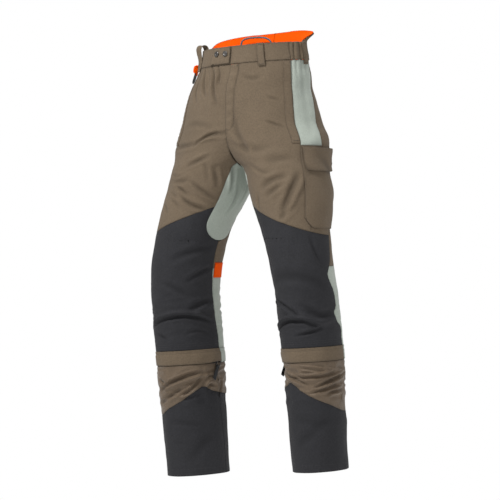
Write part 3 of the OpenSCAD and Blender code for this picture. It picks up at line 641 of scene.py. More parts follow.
class Panel(Build):
    """A sewn cloth panel between two angle edges and two height edges of the skin."""

    def __init__(self, side, t_lo, t_hi, z_lo, z_hi, off=0.0, thick=1.3, cell=4.0, bulge=None,
                 turned=1.1, dip=0.5, pucker=0.3, quiet=None):
        """quiet maps an edge to how hidden its seam is, from 0 to 1, at each (angle, height)."""
        super().__init__(side)
        mid_z = (float(at(z_lo, 90.0)) + float(at(z_hi, 90.0))) / 2
        mid_t = (float(at(t_lo, mid_z)) + float(at(t_hi, mid_z))) / 2
        height = abs(float(at(z_hi, mid_t)) - float(at(z_lo, mid_t)))
        radius = float(np.sqrt((HALF_W(mid_z) ** 2 + HALF_D(mid_z) ** 2) / 2))
        width = abs(math.radians(float(at(t_hi, mid_z)) - float(at(t_lo, mid_z)))) * radius
        self.u = grid_lines(width, min(cell, width / 4))
        self.v = grid_lines(height, min(cell, height / 4))
        u, v = np.meshgrid(self.u, self.v)
        z = mid_z + (v - 0.5) * height
        for _ in range(6):
            t = at(t_lo, z) + (at(t_hi, z) - at(t_lo, z)) * u
            z = at(z_lo, t) + (at(z_hi, t) - at(z_lo, t)) * v
        self.t, self.z = t, z
        base = skin(side, t, z)
        normal = grid_normals(base, side)
        shade = shadow(side, t, z)
        if bulge is not None:
            pushed = bulge(t, z)
            base = base + pushed[..., None] * normal
            normal = grid_normals(base, side)
        # Distances to the four edges, measured on the cloth
        step_u = np.linalg.norm(np.diff(base, axis=1), axis=-1)
        step_v = np.linalg.norm(np.diff(base, axis=0), axis=-1)
        arc_u = np.concatenate([np.zeros((len(self.v), 1)), np.cumsum(step_u, 1)], 1)
        arc_v = np.concatenate([np.zeros((1, len(self.u))), np.cumsum(step_v, 0)], 0)
        self.width, self.height = arc_u[:, -1:], arc_v[-1:, :]
        gaps = np.stack([arc_u, self.width - arc_u, arc_v, self.height - arc_v])
        for k, name in enumerate(("lo", "hi", "bottom", "top")):
            if name in (quiet or {}):
                gaps[k] = gaps[k] + 60 * at(quiet[name], z) ** 3
        edge = gaps.min(0)
        drop = turned - np.sqrt(np.maximum(turned ** 2 - np.maximum(turned - edge, 0) ** 2, 0))
        ripple = np.sin(arc_u / 1.6 + 2 * np.sin(arc_v / 13)) * np.exp(-gaps[2:].min(0) / 7)
        ripple += np.sin(arc_v / 1.7 + 2 * np.sin(arc_u / 11)) * np.exp(-gaps[:2].min(0) / 7)
        height_off = off - drop - dip * np.exp(-edge / 3.5) + pucker * ripple
        self.outer, self.normal = base + height_off[..., None] * normal, normal
        # Darker along the panel's edges where the seams run, plus the painted shade of the creases
        seam = np.clip(np.exp(-edge / 1.6) + shade, 0, 1)
        # Painted shade in the valleys where a bulge pushes the cloth in, such as the gathered pleats
        if bulge is not None:
            least = pushed.min()
            seam = np.clip(seam + 0.8 * np.clip(1 - (pushed - least) / 1.6, 0, 1) * (least < -1), 0, 1)
        self.sheet(base + (off - thick) * normal, np.stack([arc_u, arc_v], -1), seam)

    def sheet(self, inner, uv, seam):
        """The outer and inner faces, and the rim that joins them."""
        rows, cols = seam.shape
        n = rows * cols
        ring = np.concatenate([np.arange(cols), np.arange(1, rows) * cols + cols - 1,
                               (rows - 1) * cols + np.arange(cols - 2, -1, -1),
                               np.arange(rows - 2, 0, -1) * cols])
        after = np.roll(ring, -1)
        rim = np.stack([ring, ring + n, after + n, after], 1)
        faces = np.concatenate([quads(rows, cols), quads(rows, cols, n)[:, ::-1], rim])
        self.add(np.stack([self.outer, inner]), faces[:, ::-1] if self.side < 0 else faces, 0,
                 np.stack([uv, uv]), np.stack([seam, seam]))

    def sample(self, values, u, v):
        rows, cols = self.z.shape
        fi, fj = np.interp(u, self.u, np.arange(cols)), np.interp(v, self.v, np.arange(rows))
        i, j = np.clip(fi.astype(int), 0, cols - 2), np.clip(fj.astype(int), 0, rows - 2)
        a, b = (fi - i)[:, None], (fj - j)[:, None]
        return ((values[j, i] * (1 - a) + values[j, i + 1] * a) * (1 - b)
                + (values[j + 1, i] * (1 - a) + values[j + 1, i + 1] * a) * b)

    def sew(self, start=0.0, end=1.0, **insets):
        """Rows of stitches beside the named edges, each inset from its edge in millimetres."""
        s = np.linspace(start, end, 240)
        for edge, inset in insets.items():
            for gap in np.atleast_1d(inset):
                if edge in ("lo", "hi"):
                    u = gap / np.interp(s, self.v, self.width[:, 0])
                    self.sew_path(u if edge == "lo" else 1 - u, s)
                else:
                    v = gap / np.interp(s, self.u, self.height[0])
                    self.sew_path(s, v if edge == "bottom" else 1 - v)
        return self

    def sew_path(self, u, v, pitch=3.1, long=2.3, wide=0.5, raised=0.12):
        n = self.sample(self.normal, u, v)
        p = self.sample(self.outer, u, v) + raised * n
        arc = lengths(p)
        marks = np.arange(pitch / 2, arc[-1], pitch)
        if len(marks) > 1:
            ahead = unit(resample(marks + 0.5, arc, p) - resample(marks - 0.5, arc, p))
            self.stitches(resample(marks, arc, p), ahead, resample(marks, arc, n), long, wide)

    def bar_tack(self, u, v, length, step=0.7):
        """A short level block of dense stitches that locks the end of a seam."""
        count = int(length / step)
        places = np.full(3, u), np.array([v, min(1, v + 0.01), max(0, v - 0.01)])
        here, above, below = self.sample(self.outer, *places)
        n = self.sample(self.normal, *places)[0]
        up = above - below
        up /= np.linalg.norm(up)
        offs = (np.arange(count) - (count - 1) / 2) * step
        centre = here + offs[:, None] * np.cross(up, n) + 0.3 * n
        self.stitches(centre, np.repeat(up[None], count, 0), np.repeat(n[None], count, 0), 2.2, 0.6)
        return self


def sweep(path, cell):
    """A smooth path in even steps: distances along it, its points and its directions."""
    path = np.asarray(path, float)
    arc = lengths(path)
    s = np.linspace(0, arc[-1], int(arc[-1] / cell) + 1)
    centre = np.stack([smooth_curve(arc, path[:, k])(s) for k in range(3)], 1)
    ahead = np.gradient(centre, axis=0)
    return arc, s, centre, ahead / np.linalg.norm(ahead, axis=1, keepdims=True)


def tube_faces(around, count):
    i, j = np.meshgrid(np.arange(around), np.arange(count - 1))
    a, b = (j * around + i).ravel(), (j * around + (i + 1) % around).ravel()
    return np.stack([a, b, b + around, a + around], 1)


def ribbon(path, across, width, thick, cell=1.5):
    """A strip of webbing swept along a path, with rounded long edges."""
    across = np.asarray(across, float)
    arc, s, centre, ahead = sweep(path, cell)
    if across.ndim > 1:
        across = resample(s, arc, across)
        across = across - (across * ahead).sum(1, keepdims=True) * ahead
        across /= np.linalg.norm(across, axis=1, keepdims=True)
    else:
        across = np.repeat(across[None], len(s), 0)
    face = np.cross(ahead, across)
    w = np.linspace(-1, 1, 9)
    half = thick / 2 * np.sqrt(np.maximum(1 - np.abs(w) ** 8, 0.05))
    ring_w = np.concatenate([w, w[::-1]]) * width / 2
    ring_h = np.concatenate([half, -half[::-1]])
    verts = centre[:, None] + ring_w[:, None] * across[:, None] + ring_h[:, None] * face[:, None]
    n = len(ring_w)
    caps = [[k, k + 1, n - 2 - k, n - 1 - k] for k in range(8)]
    caps += [[c + (len(s) - 1) * n for c in cap[::-1]] for cap in caps]
    uv = np.stack(np.broadcast_arrays(ring_w, s[:, None]), -1)
    build = Build()
    build.add(verts, tube_faces(n, len(s))[:, ::-1], 0, uv)
    build.add(verts, [cap[::-1] for cap in caps], 0, uv)
    return build, centre, ahead, face


def cord(path, radius, closed=False, lay=7.0, cell=0.8):
    """A laid cord of three strands along a path."""
    arc, s, centre, ahead = sweep(np.concatenate([path, path[:1]]) if closed else path, cell)
    side = np.cross(ahead, [0.12, 0.99, 0.05])
    side /= np.linalg.norm(side, axis=1, keepdims=True)
    up = np.cross(side, ahead)
    a = np.linspace(0, 2 * np.pi, 18, endpoint=False)
    turn = 2 * np.pi * s[:, None] / lay
    r = radius * (0.84 + 0.16 * np.abs(np.cos(3 * (a - turn) / 2)))
    end = np.minimum(s, arc[-1] - s)[:, None]
    r = r if closed else r * np.sqrt(np.clip(end / radius, 0.02, 1))
    ring = (centre[:, None] + (r * np.cos(a))[..., None] * side[:, None]
            + (r * np.sin(a))[..., None] * up[:, None])
    uv = np.stack(np.broadcast_arrays(a * radius, s[:, None]), -1)
    build = Build()
    build.add(ring, tube_faces(len(a), len(s)), 0, uv)
    return build


def hip_bend(piece, side):
    """Bakes the placement of a hip or thigh piece into its mesh."""
    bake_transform(piece)


def knee_bend(piece, side):
    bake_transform(piece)


# ---- Seams ----


def line(*points):
    """A seam through (height, angle) points, smooth between them."""
    points = np.array(sorted(points), float)
    return smooth_curve(points[:, 0], points[:, 1])


BAND_FRONT_END, YOKE_START, FRONT_EDGE = 159, 199, 137
GUSSET_MID, GUSSET_HALF = -13, 35
GUARD_T0, GUARD_T1 = 20, 184
INNER_END = -24
FLY_END, FLY_W, FLY_TURN = -RISE + 91, 24, 31

hip_edge = line((HIP_CUT, 137), (-BAND_H, BAND_FRONT_END))
side_seam = line((GUARD_SIDE_TOP, 184), (HIP_CUT, 170), (-BAND_H, 203))
guard_outer = line((FLAP_TOP, 182), (KNEE_Z - 65, 182), (KNEE_Z - 46, 169), (KNEE_Z - 24, 165),
                   (KNEE_Z, 173), (KNEE_Z + 24, 173), (KNEE_Z + 74, 160), (THIGH_END, 169),
                   (GUARD_SIDE_TOP, GUARD_T1))


def yoke_top(t):
    return YOKE_RISE * np.clip(1 - np.abs((270 - t) / 88) ** 3, 0, 1)


def front_edge(z):
    """The front ends at the stretch panel above the hip, and at the side panel below it."""
    return np.where(z > HIP_CUT, hip_edge(z), FRONT_EDGE)


def gusset_half_at(z):
    k = np.clip((GUSSET_ROUND - z) / (GUSSET_ROUND - GUSSET_TIP), 0, 1)
    return GUSSET_HALF * np.sqrt(1 - k ** 2)


def thigh_front_edge(z):
    return np.maximum(t_front(z), GUSSET_MID + GUSSET_HALF)


def thigh_back_edge(z):
    return np.where(z > GUSSET_TIP, np.minimum(t_back(z), 360 + GUSSET_MID - gusset_half_at(z)),
                    360 + GUSSET_MID)


def guard_top(t):
    k = np.clip((t - GUARD_T0) / (GUARD_T1 - GUARD_T0), 0, 1)
    return GUARD_FRONT_TOP - (GUARD_FRONT_TOP - GUARD_SIDE_TOP) * np.sin(np.pi / 2 * k)


def guard_inner(z):
    below = np.interp(z, [FLAP_TOP, THIGH_END], [INNER_END, GUSSET_MID])
    return np.where(z > GUSSET_TIP, GUSSET_MID + gusset_half_at(z), below)


def side_seam_low(z):
    return np.where(z > GUARD_SIDE_TOP, side_seam(z), guard_outer(z))


def inner_line(z):
    """The inside leg seam below the zip."""
    return np.interp(z, [-RISE - 0.89 * INSEAM, -RISE - 0.745 * INSEAM, ZIP_Z - 18], [-25, -16, -12])


def inner_line_back(z):
    return 360 + inner_line(z)


# The gaiter's seam has a peak on the front of each shin, at its own (angle, height)
GAITER_SEAM = {
    LEFT: line((-60, -884), (-20, -876), (40, -855), (55, -847), (79, -866), (99, -883), (131, -904),
               (186, -928), (230, -920), (300, -884)),
    RIGHT: line((-51, -880), (-2, -866), (18, -853), (27, -860), (56, -886), (84, -904), (116, -920),
                (180, -922), (240, -906), (309, -880)),
}


# ---- Waist ----


def pleat_phase(t):
    return np.pi * (t - BAND_FRONT_END) / 8.3 + 0.5 * np.sin(t / 4.3)


def gathers(t, z):
    """Pleats pulled up by the elastic, deepest half way along it."""
    mid = (BAND_FRONT_END + YOKE_START) / 2
    fade = np.clip(1 - np.abs((t - mid) / (YOKE_START - mid)) ** 5, 0, 1)
    return fade * (5.6 * np.abs(np.sin(pleat_phase(t - 0.05 * z))) ** 0.8 - 3.0)


def waist(side):
    band = Panel(side, t_front, BAND_FRONT_END, -BAND_H, 0, off=1.2, thick=3.0, cell=4)
    band.sew(top=2.2, bottom=2.0)
    band.piece("cloth_band_", "taupe_twill", "pelvis", "waistband_")
    channel = Panel(side, BAND_FRONT_END, YOKE_START, -BAND_H, yoke_top, off=0.8, thick=2.0,
                    cell=1.5, bulge=gathers, pucker=0.1)
    channel.sew(bottom=(11, 22, 33))
    channel.piece("cloth_channel_", "taupe_twill", "pelvis", "elastic_channels")
    elastic = Panel(side, BAND_FRONT_END + 3, YOKE_START - 3, -BAND_H + 6, -5, off=-4.0, thick=1.4)
    elastic.piece("waist_elastic_", "black_tape", "pelvis", "waist_elastics")
    yoke = Panel(side, YOKE_START, t_back, -BAND_H, yoke_top, off=1.2, thick=3.0)
    yoke.sew(top=3.0, bottom=2.0, lo=2.0, hi=1.6)
    yoke.piece("cloth_yoke_", "taupe_twill", "pelvis", "back_yoke")
    inside = Panel(side, YOKE_START - 14, t_back, -BAND_H + 2, lambda t: yoke_top(t) + 0.6,
                   off=-2.1, thick=1.0)
    inside.sew(top=3.0).piece("cloth_yoke_lining_", "orange_cloth", "pelvis", "yoke_lining")


LOOP_W = 17


def belt_loop(name, side, t):
    top, bottom, bow = -1.0, -BAND_H - 10, 3.0

    def reach(_, z):
        return bow * np.sin(np.pi * np.clip((top - z) / (top - bottom), 0, 1)) ** 0.6
    half = LOOP_W / 2 / float(arc_per_degree(t, -20.0))
    loop = Panel(side, t - half, t + half, bottom, top, off=3.6, thick=1.5, cell=3, bulge=reach,
                 pucker=0.0, dip=0.1, turned=0.6)
    loop.sew(lo=3.0, hi=3.0).bar_tack(0.5, 0.05, 13).bar_tack(0.5, 0.95, 13)
    loop.piece(name, "taupe_twill", "pelvis", "belt_loops")


def arched_loop():
    """The loop at the right hip arches over the top edge of the band."""
    place = RIGHT, np.float64(145)
    foot, out = smooth_skin(*place, np.float64(0)), outward(*place, np.float64(0))

    def lean(z):
        return float((smooth_skin(*place, np.float64(min(0, z))) - foot) @ out)
    shape = [(-6, -12), (-6.5, -4), (-6, 3), (-2.5, 9), (4, 11.5), (10, 9), (13, 2), (11.5, -8), (8, -18),
             (5.5, -26), (3.8, -40), (3.2, -54)]
    path = [foot + (r + (lean(z) if r > 2 else 0)) * out + np.array([0, 0, z]) for r, z in shape]
    level = np.cross(out, [0, 0, 1])
    twist = np.radians([20, 30, 38, 42, 42, 40, 38, 34, 28, 22, 14, 10])[:, None]
    build, centre, ahead, face = ribbon(path, np.cos(twist) * level + np.sin(twist) * out, LOOP_W, 1.6)
    for w in (-LOOP_W / 2 + 3, LOOP_W / 2 - 3):
        for sign in (1, -1):
            row = centre + w * np.cross(face, ahead) + sign * 0.85 * face
            build.stitches(row[1:-1:2], ahead[1:-1:2], sign * face[1:-1:2], 2.3, 0.5)
    build.piece("belt_loop_arched", "taupe_twill", "pelvis", "belt_loops")


# ---- Hips ----


def stretch_folds(t, z):
    """Small pleats where the stretch panel is gathered into the waistband."""
    down = np.maximum(-BAND_H - z, 0)
    fade = np.exp(-(down / 42) ** 1.3) * ease(t, BAND_FRONT_END - 14, BAND_FRONT_END - 2)
    pleats = 3.2 * fade * (np.abs(np.sin(pleat_phase(t + 0.10 * down))) - 0.6)
    return pleats + 1.1 * np.sin(t / 4.1 + down / 40) * ease(down, 10, 60) * (1 - ease(down, 150, 200))


def fly_part(z):
    return 0.28 * ease(z, FLY_END, FLY_END + 10)


def fly_stitches(panel):
    """Two rows beside the J, and a tack at its foot, half way up and at the band."""
    rise = panel.z[:, 0]

    def across(z, x):
        return float(np.interp(t_at_x(z, x), panel.t[np.abs(rise - z).argmin()], panel.u))
    for inset in (-1.2, 5.0):
        z = np.linspace(FLY_END, -BAND_H - 1, 120)
        k = np.clip((z - FLY_END) / FLY_TURN, 0, 1)
        x = FLY_W * np.sqrt(1 - (1 - k) ** 2) + inset
        z, x = z[x > 1.5], x[x > 1.5]
        panel.sew_path(np.array([across(*p) for p in zip(z, x)]), np.interp(z, rise, panel.v))
    for z, x in ((FLY_END + 4, 7.0), (FLY_END + 36, 22.0), (-BAND_H - 5, 22.0)):
        panel.bar_tack(across(z, x), float(np.interp(z, rise, panel.v)), 9)


def hips(side):
    front = Panel(side, thigh_front_edge, front_edge, guard_top, -BAND_H, cell=2.6, quiet={"lo": fly_part})
    front.sew(bottom=2.5).sew(0.0, 0.45, hi=2.0).sew(0.0, 0.6 if side > 0 else 0.95, lo=2.0)
    if side > 0:
        fly_stitches(front)
    front.piece("cloth_front_", "taupe_twill", hip_bend, "front_rise_", "front_thigh_")
    outer = Panel(side, FRONT_EDGE, side_seam, guard_top, HIP_CUT, cell=3.5)
    outer.sew(lo=(2.0, 8.0), top=2.0, bottom=2.5).piece("cloth_side_", "taupe_twill", hip_bend)
    stretch = Panel(side, hip_edge, side_seam, HIP_CUT, -BAND_H, off=-0.2, cell=3.5, bulge=stretch_folds)
    stretch.sew(hi=2.0).piece("cloth_hip_stretch_", "sage_stretch", hip_bend, "hip_stretch")
    back = Panel(side, side_seam_low, thigh_back_edge, THIGH_END, -BAND_H, cell=4)
    back.sew(lo=(2.0, 8.0), hi=2.0)
    back.piece("cloth_back_", "taupe_twill", hip_bend, "seat_panels", "back_thigh_")
    welt_top = -BAND_H - (2 if side > 0 else 10)
    welt = Panel(side, lambda z: hip_edge(z) - 10.5, lambda z: hip_edge(z) - 0.6, HIP_CUT + 4,
                 welt_top, off=2.0, thick=1.8, cell=2.2, pucker=0.35, dip=0.8)
    welt.sew(lo=2.0, hi=2.0).bar_tack(0.5, 0.03, 16)
    welt.piece("cloth_welt_", "taupe_twill", hip_bend, "pocket_welts")
    bag = Panel(side, 108, lambda z: hip_edge(z) - 4, HIP_CUT + 6, HIP_CUT + 132, off=-9, thick=3.6)
    bag.piece("pocket_bag_", "grey_lining", hip_bend, "pocket_bags")


# ---- Thighs ----


def thighs(side):
    guard = Panel(side, guard_inner, lambda z: np.minimum(guard_outer(z), GUARD_T1), THIGH_END,
                  guard_top, cell=3.5, quiet={"bottom": 0.9})
    guard.sew(top=2.0).sew(0.0, 0.08, bottom=2.0).sew(0.92, 1.0, bottom=2.0)
    guard.piece("cloth_thigh_guard_", "charcoal_guard", hip_bend, "thigh_guard_")
    inlay = Panel(side, 28, 154, THIGH_END + 6, GUARD_SIDE_TOP - 4, off=-5, thick=3)
    inlay.piece("inlay_thigh_", "grey_lining", hip_bend, "thigh_inlay_")

    def across(t):
        return np.minimum(1, np.abs(t - GUSSET_MID) / GUSSET_HALF)
    gusset = Panel(side, GUSSET_MID - GUSSET_HALF, GUSSET_MID + GUSSET_HALF,
                   lambda t: GUSSET_ROUND - (GUSSET_ROUND - GUSSET_TIP) * np.sqrt(1 - across(t) ** 2),
                   lambda t: -RISE + 14 * across(t) ** 2, cell=3.5)
    gusset.piece("cloth_gusset_", "sage_stretch", hip_bend, "inner_gusset_")
    knee = Panel(side, guard_outer, lambda z: 360 + guard_inner(z), FLAP_TOP, THIGH_END, cell=3.5)
    knee.sew(top=2.0).piece("cloth_knee_stretch_", "sage_stretch", knee_bend, "knee_stretch_")
    patch = Panel(side, 285, 344, THIGH_END - 23, THIGH_END + 15, off=1.8, thick=1.0)
    patch.sew(top=2.0, bottom=2.0, lo=2.0, hi=2.0)
    patch.piece("cloth_patch_", "orange_cloth", knee_bend, "thigh_patch_")


# ---- Cargo pocket ----


def cargo_pocket():
    under_flap = POCKET_TOP - 66

    def fill(t, z):
        k = np.clip((under_flap - z) / (under_flap - POCKET_BOTTOM), 0, 1)
        m = np.clip((t - 124) / 98, 0, 1)
        return 3.5 * np.sin(np.pi * k) ** 0.8 * np.sin(np.pi * m) ** 0.7 + 1.2 * np.sin(z / 11 + t / 9) * m

    def bottom(t):
        return POCKET_BOTTOM + 24 * np.clip((144 - t) / 16, 0, 1) ** 2
    pocket = Panel(LEFT, line((POCKET_BOTTOM, 126), (POCKET_TOP, 136)),
                   line((POCKET_BOTTOM, 220), (POCKET_TOP, 225)), bottom, POCKET_TOP, off=3.4,
                   thick=3.0, cell=3.5, bulge=fill)
    pocket.sew(lo=2.2, hi=2.2, bottom=2.2)
    pocket.piece("cloth_cargo_pocket", "taupe_twill", hip_bend, "cargo_pocket")

    def wave(t, z):
        return 1.5 * np.sin(t / 7 + z / 15) * ease(POCKET_TOP - z, 6, 45)

    def flap_bottom(t):
        return POCKET_TOP - 60 + 12 * np.clip((t - 214) / 10, 0, 1) ** 2 - 1.5 * np.sin(t / 12)

    def lift(piece, _):
        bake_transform(piece)
    flap = Panel(LEFT, 137, 224, flap_bottom, POCKET_TOP, off=8.6, thick=1.8, cell=3, bulge=wave)
    flap.sew(lo=2.2, hi=2.2, bottom=2.2, top=(2.2, 8.0))
    flap.piece("cloth_cargo_flap", "taupe_twill", lift, "cargo_flap")


# ---- Shins ----


def skirt(t, z):
    """The skirt stands off the leg over the zip, and more where the slider lies below it."""
    over_slider = 4.6 * np.exp(-(wrap(t + 14) / 16) ** 4)
    groove = 1.7 * np.exp(-((z - FLAP_TOP + 8) / 1.8) ** 2)
    return (0.5 + over_slider + 0.5 * np.sin(t / 9)) * (1 - ease(z, FLAP_TOP - 12, FLAP_TOP)) - groove


def flap_hem(t):
    """The skirt's hem lifts a little over the slider, clear of the raised tab."""
    return FLAP_BOTTOM + 3.0 * np.exp(-(wrap(t + 14) / 15) ** 4)


def shins(side):
    guard = Panel(side, guard_inner, guard_outer, FLAP_TOP, THIGH_END, cell=3, quiet={"top": 0.9})
    guard.sew(bottom=(12, 18))
    guard.piece("cloth_knee_guard_", "charcoal_guard", knee_bend, "knee_guard_")
    inlay = Panel(side, 10, 150, FLAP_TOP + 8, THIGH_END - 8, off=-5, thick=3)
    inlay.piece("inlay_knee_", "grey_lining", knee_bend, "knee_inlay_")
    for part, cloth, t0, t1, hem in (("", "taupe_twill", INNER_END, 182, flap_hem),
                                     ("back_", "sage_stretch", 182, 360 + INNER_END, FLAP_BOTTOM)):
        flap = Panel(side, t0, t1, hem, FLAP_TOP, off=1.4, thick=1.5, cell=3, bulge=skirt)
        flap.sew(top=7.0, bottom=2.5)
        flap.piece("cloth_zip_flap_" + part, cloth, "shin_", "zip_flap_")
    for part, z0, z1, body in (("upper", ZIP_Z + 0.6, FLAP_TOP - 1, "shin_"),
                               ("lower", ZIP_Z - 18, ZIP_Z - 0.6, "lower_")):
        tape = Panel(side, INNER_END + 5, 355 + INNER_END, z0, z1, off=-0.6, thick=1.2, cell=4)
        tape.piece(f"zip_tape_{part}_", "black_tape", body, f"{part}_zip_")

    def seam(t):
        return GAITER_SEAM[side]((t + 60) % 360 - 60)
    shin = Panel(side, inner_line, inner_line_back, seam, ZIP_Z - 18, cell=2.5)
    shin.sew(bottom=2.2, lo=2.0)
    if side < 0:
        column = (17 - shin.t[0, 0]) / 360
        for gap in (0.0, 3.0):
            shin.sew_path(np.full(90, column) + gap / float(shin.width.mean()), np.linspace(0, 1, 90))
    shin.piece("cloth_shin_", "light_taupe", "lower_", "shin_panel_")
    gaiter = Panel(side, inner_line, inner_line_back, -OUTSEAM, seam, cell=4)
    gaiter.sew(bottom=(2.0, 18.0), top=2.2)
    gaiter.piece("cloth_gaiter_", "charcoal_guard", "lower_", "gaiter_")


# ---- Small soft parts ----


def waist_tab():
    def swing(piece, _):
        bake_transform(piece)
    tab = Panel(RIGHT, lambda z: t_front(z) + 0.5, 115, -BAND_H + 1.5, -0.5, off=5.4, thick=1.8,
                cell=3, pucker=0.1)
    tab.sew(lo=2.0, hi=2.2, top=2.2, bottom=2.2)
    tab.piece("cloth_waist_tab", "taupe_twill", swing, "waist_tab")


def on_skin(side, t, z, follow=True):
    """A point of the CAD skin with its outward, level and upward directions."""
    t, z = np.float64(t), np.float64(z)
    out = outward(side, t, z)
    rise = (cad_skin(side, t, z + 1) - cad_skin(side, t, z - 1)) / 2
    up = np.array([0, 0, 1.0]) + (rise @ out if follow else 0.0) * out
    up /= np.linalg.norm(up)
    level = np.cross([0, 0, 1.0], out)
    return cad_skin(side, t, z), np.cross(level, up), level, up


def ring_strap():
    """The folded strap hangs half turned, so that its face shows from the front."""
    p, out, level, up = on_skin(RIGHT, 162, -BAND_H - 8)
    shape = [(3.2, 6), (3.0, 0), (3.1, -5), (3.2, -12), (3.6, -17.5), (5.4, -19.2), (7.3, -17.5), (7.5, -12),
             (7.2, -5), (6.0, 1), (4.6, 5.5)]
    path, across = [], []
    for r, h in shape:
        turned = ease(h, -17, -9) * (1 - ease(h, 1, 5))
        angle = math.radians(64) * turned
        face = math.cos(angle) * out - math.sin(angle) * level
        path.append(p + (5.3 + 3.6 * turned) * out + (r - 5.3) * face + h * up)
        across.append(math.cos(angle) * level + math.sin(angle) * out)
    ribbon(path, across, 14, 1.2, 0.7)[0].piece("ring_strap_webbing", "orange_cloth", "pelvis", "ring_strap")


def leg_tab(side):
    p, out, level, up = on_skin(side, -20, ZIP_Z, False)
    slant = math.radians(28) * side
    down = -(math.cos(slant) * up - math.sin(slant) * level)
    across = math.cos(slant) * level + math.sin(slant) * up
    shape = [(2.5, 54), (2.6, 38), (2.6, 21), (1.9, 18), (1.9, 16), (3.0, 15.1), (4.1, 16), (4.1, 18),
             (3.4, 21), (3.4, 38), (3.7, 55)]
    path = [p - 7 * up + r * out + h * down for r, h in shape]
    build, centre, ahead, face = ribbon(path, across, 13, 0.7, 1.0)
    flat = [k for k in range(2, len(centre) - 2) if abs(ahead[k] @ down) > 0.95][::2]
    for w in (-4.8, 4.8):
        for sign in (1, -1):
            build.stitches(centre[flat] + w * across + sign * 0.38 * face[flat],
                           ahead[flat], sign * face[flat], 1.7, 0.4)
    build.side = side
    build.piece("leg_tab_webbing_", "black_tape", "leg_tab_", "leg_tab_")


def corners(node):
    return (np.array(corner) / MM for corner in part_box(node))


def hanger_loop():
    """An arch of cord sewn inside the back of the waist."""
    least, most = corners("hanger_loop")
    middle = (least + most) / 2
    half = (most[0] - least[0]) / 2 - 2
    lean = (most[1] - least[1] - 4) / (most[0] - least[0])
    shape = [(-0.97, -32), (-0.96, -20), (-0.90, -10), (-0.66, -3.6), (-0.3, -1.2), (0.1, -0.4), (0.5, -1.6),
             (0.8, -6), (0.95, -14), (0.97, -24), (0.96, -32)]
    path = [(middle[0] + half * u, middle[1] + half * u * lean, most[2] - 2 + h) for u, h in shape]
    cord(path, 2.2).piece("hanger_loop_cord", "grey_lining", "pelvis", "hanger_loop")


def cord_loop():
    least, most = corners("cord_loop")
    level = np.cross([0, 0, 1.0], outward(LEFT, np.float64(214), np.float64(HIP_CUT + 9)))
    a = np.linspace(0, 2 * np.pi, 24, endpoint=False)
    drop = 4.0 * np.sin(a) - 0.6 * np.cos(2 * a)
    path = (least + most) / 2 + (3.9 * np.cos(a) * (1 - 0.12 * np.sin(a)))[:, None] * level
    loop = cord(path + drop[:, None] * [0, 0, 1], 0.9, True, lay=3.5, cell=0.4)
    loop.side = LEFT
    loop.piece("cord_loop_cord", "black_tape", hip_bend, "cord_loop")


def fly():
    """The facing behind the fly, and two tapes with their teeth interleaved."""
    facing = Panel(LEFT, t_front, lambda z: t_at_x(z, 26.0), FLY_END + 2, -BAND_H - 3, off=-3.4, thick=1.3)
    facing.piece("cloth_fly_facing", "taupe_twill", "pelvis", "fly_facing")
    least, most = corners("fly_zip")
    y, top, bottom = (least[1] + most[1]) / 2, most[2], least[2]
    build = Build()
    for side in NAMES:
        path = [(side * 8.5, y + 0.2 * math.sin(k), top - k * (top - bottom) / 12) for k in range(13)]
        tape = ribbon(path, (side, 0, 0), 12, 1.0, 2.0)[0]
        build.add(np.concatenate(tape.verts), np.array(tape.faces[:-16]), 0, np.concatenate(tape.uvs) / MM)
        tooth = np.array([(x, w, h) for h in (-0.55, 0.55) for w in (-1.1, 1.1) for x in (-0.4, 0.5, 2.6)])
        tooth[[0, 3, 6, 9], 1] *= 0.55
        box = np.array([[0, 1, 4, 3], [1, 2, 5, 4], [6, 9, 10, 7], [7, 10, 11, 8], [0, 3, 9, 6],
                        [2, 8, 11, 5], [0, 6, 7, 1], [1, 7, 8, 2], [3, 4, 10, 9], [4, 5, 11, 10]])
        for z in np.arange(top - 3, bottom + 3, -2.4) - (1.2 if side > 0 else 0):
            build.add(tooth * [side, 1, 1] + [0, y, z], box[:, ::-1] if side > 0 else box, 1)
    build.piece("fly_zip_chain", "black_tape", "pelvis", "fly_zip", second=NICKEL, smooth=False)


for side in NAMES:
    for part in (waist, hips, thighs, shins, leg_tab):
        part(side)
LOOPS = (LEFT, 123), (LEFT, 183), (LEFT, 235), (LEFT, 265), (RIGHT, 180), (RIGHT, 235)
for k, (side, t) in enumerate(LOOPS):
    belt_loop(f"belt_loop_{k + 1}", side, t)
for part in (arched_loop, fly, cargo_pocket, waist_tab, ring_strap, hanger_loop, cord_loop):
    part()

# ---- CAD nodes that are already the right shape ----
KEPT = {NICKEL: ("stud_posts", "stud_caps", "cargo_stud_post", "cargo_stud_cap", "fly_slider", "fly_puller",
                 "leg_slider_left", "leg_slider_right"), BLACK_PLASTIC: ("hip_ring",)}
for material, nodes in KEPT.items():
    for node in nodes:
        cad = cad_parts[node]
        cad.data.materials.clear()
        cad.data.materials.append(material)

# ---- Stage ----
AIM_X, AIM_Z = -0.0075, -0.509
VIEW_ANGLE, VIEW_DISTANCE, VIEW_HEIGHT, VIEW_HALF = math.radians(32), 7.0, -0.50, 0.625


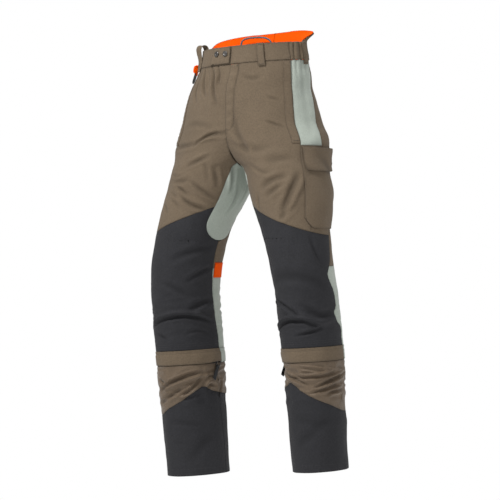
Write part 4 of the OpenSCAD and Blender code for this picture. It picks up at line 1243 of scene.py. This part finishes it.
def stage():
    scene = bpy.context.scene

    def place(name, data, where=(0, 0, 0), aim=None):
        thing = bpy.data.objects.new(name, data)
        scene.collection.objects.link(thing)
        thing.location = where
        if aim:
            thing.rotation_euler = (Vector(aim) - Vector(where)).to_track_quat("-Z", "Y").to_euler()
        return thing
    mesh = bpy.data.meshes.new("floor")
    size, floor_z = 12, (-OUTSEAM - 2) * MM
    mesh.from_pydata([(-size, -size, floor_z), (size, -size, floor_z), (size, size, floor_z),
                      (-size, size, floor_z)], [], [(0, 1, 2, 3)])
    place("floor", mesh)
    # Far from the garment the floor fades into the white background
    pale = Nodes("pale_floor")
    away = pale.add("VectorMath", {0: pale.place}, operation="LENGTH").outputs["Value"]
    far = pale.add("MapRange", {0: away, 1: 0.35, 2: 0.95}).outputs[0]
    white = pale.add("Emission", {0: (1, 1, 1, 1), 1: 1.0})
    both = pale.add("MixShader", {0: far, 1: pale.shader.outputs[0], 2: white.outputs[0]})
    pale.join(pale.tree.nodes["Material Output"].inputs[0], both.outputs[0])
    mesh.materials.append(pale.finish(Base_Color=(0.9, 0.9, 0.9, 1), Roughness=0.9))

    # The camera sees white, and the garment is lit by a dimmer one
    scene.world = bpy.data.worlds.new("studio")
    scene.world.use_nodes = True
    nodes, links = scene.world.node_tree.nodes, scene.world.node_tree.links
    lit, seen = nodes["Background"], nodes.new("ShaderNodeBackground")
    lit.inputs[0].default_value = seen.inputs[0].default_value = (1, 1, 1, 1)
    lit.inputs[1].default_value = 0.30
    both = nodes.new("ShaderNodeMixShader")
    links.new(nodes.new("ShaderNodeLightPath").outputs["Is Camera Ray"], both.inputs[0])
    links.new(lit.outputs[0], both.inputs[1])
    links.new(seen.outputs[0], both.inputs[2])
    links.new(both.outputs[0], nodes["World Output"].inputs[0])
    for name, where, size, power in (("key", (-0.6, -2.6, 2.4), 0.8, 134),
                                     ("fill", (3.0, -1.6, 0.3), 1.6, 18),
                                     ("top", (0.2, 0.9, 2.4), 1.4, 34)):
        light = bpy.data.lights.new(name, "AREA")
        light.size, light.energy = size, power
        place(name, light, where, (0, 0, -0.5))

    camera = bpy.data.cameras.new("camera")
    camera.sensor_width = 36
    camera.lens = camera.sensor_width / 2 / (VIEW_HALF / VIEW_DISTANCE)
    toward = Vector((math.sin(VIEW_ANGLE), -math.cos(VIEW_ANGLE), 0))
    across = Vector((math.cos(VIEW_ANGLE), math.sin(VIEW_ANGLE), 0))
    where = across * AIM_X + toward * VIEW_DISTANCE + Vector((0, 0, VIEW_HEIGHT))
    scene.camera = place("camera", camera, where, across * AIM_X + Vector((0, 0, AIM_Z)))
    scene.view_settings.view_transform = "Standard"


stage()
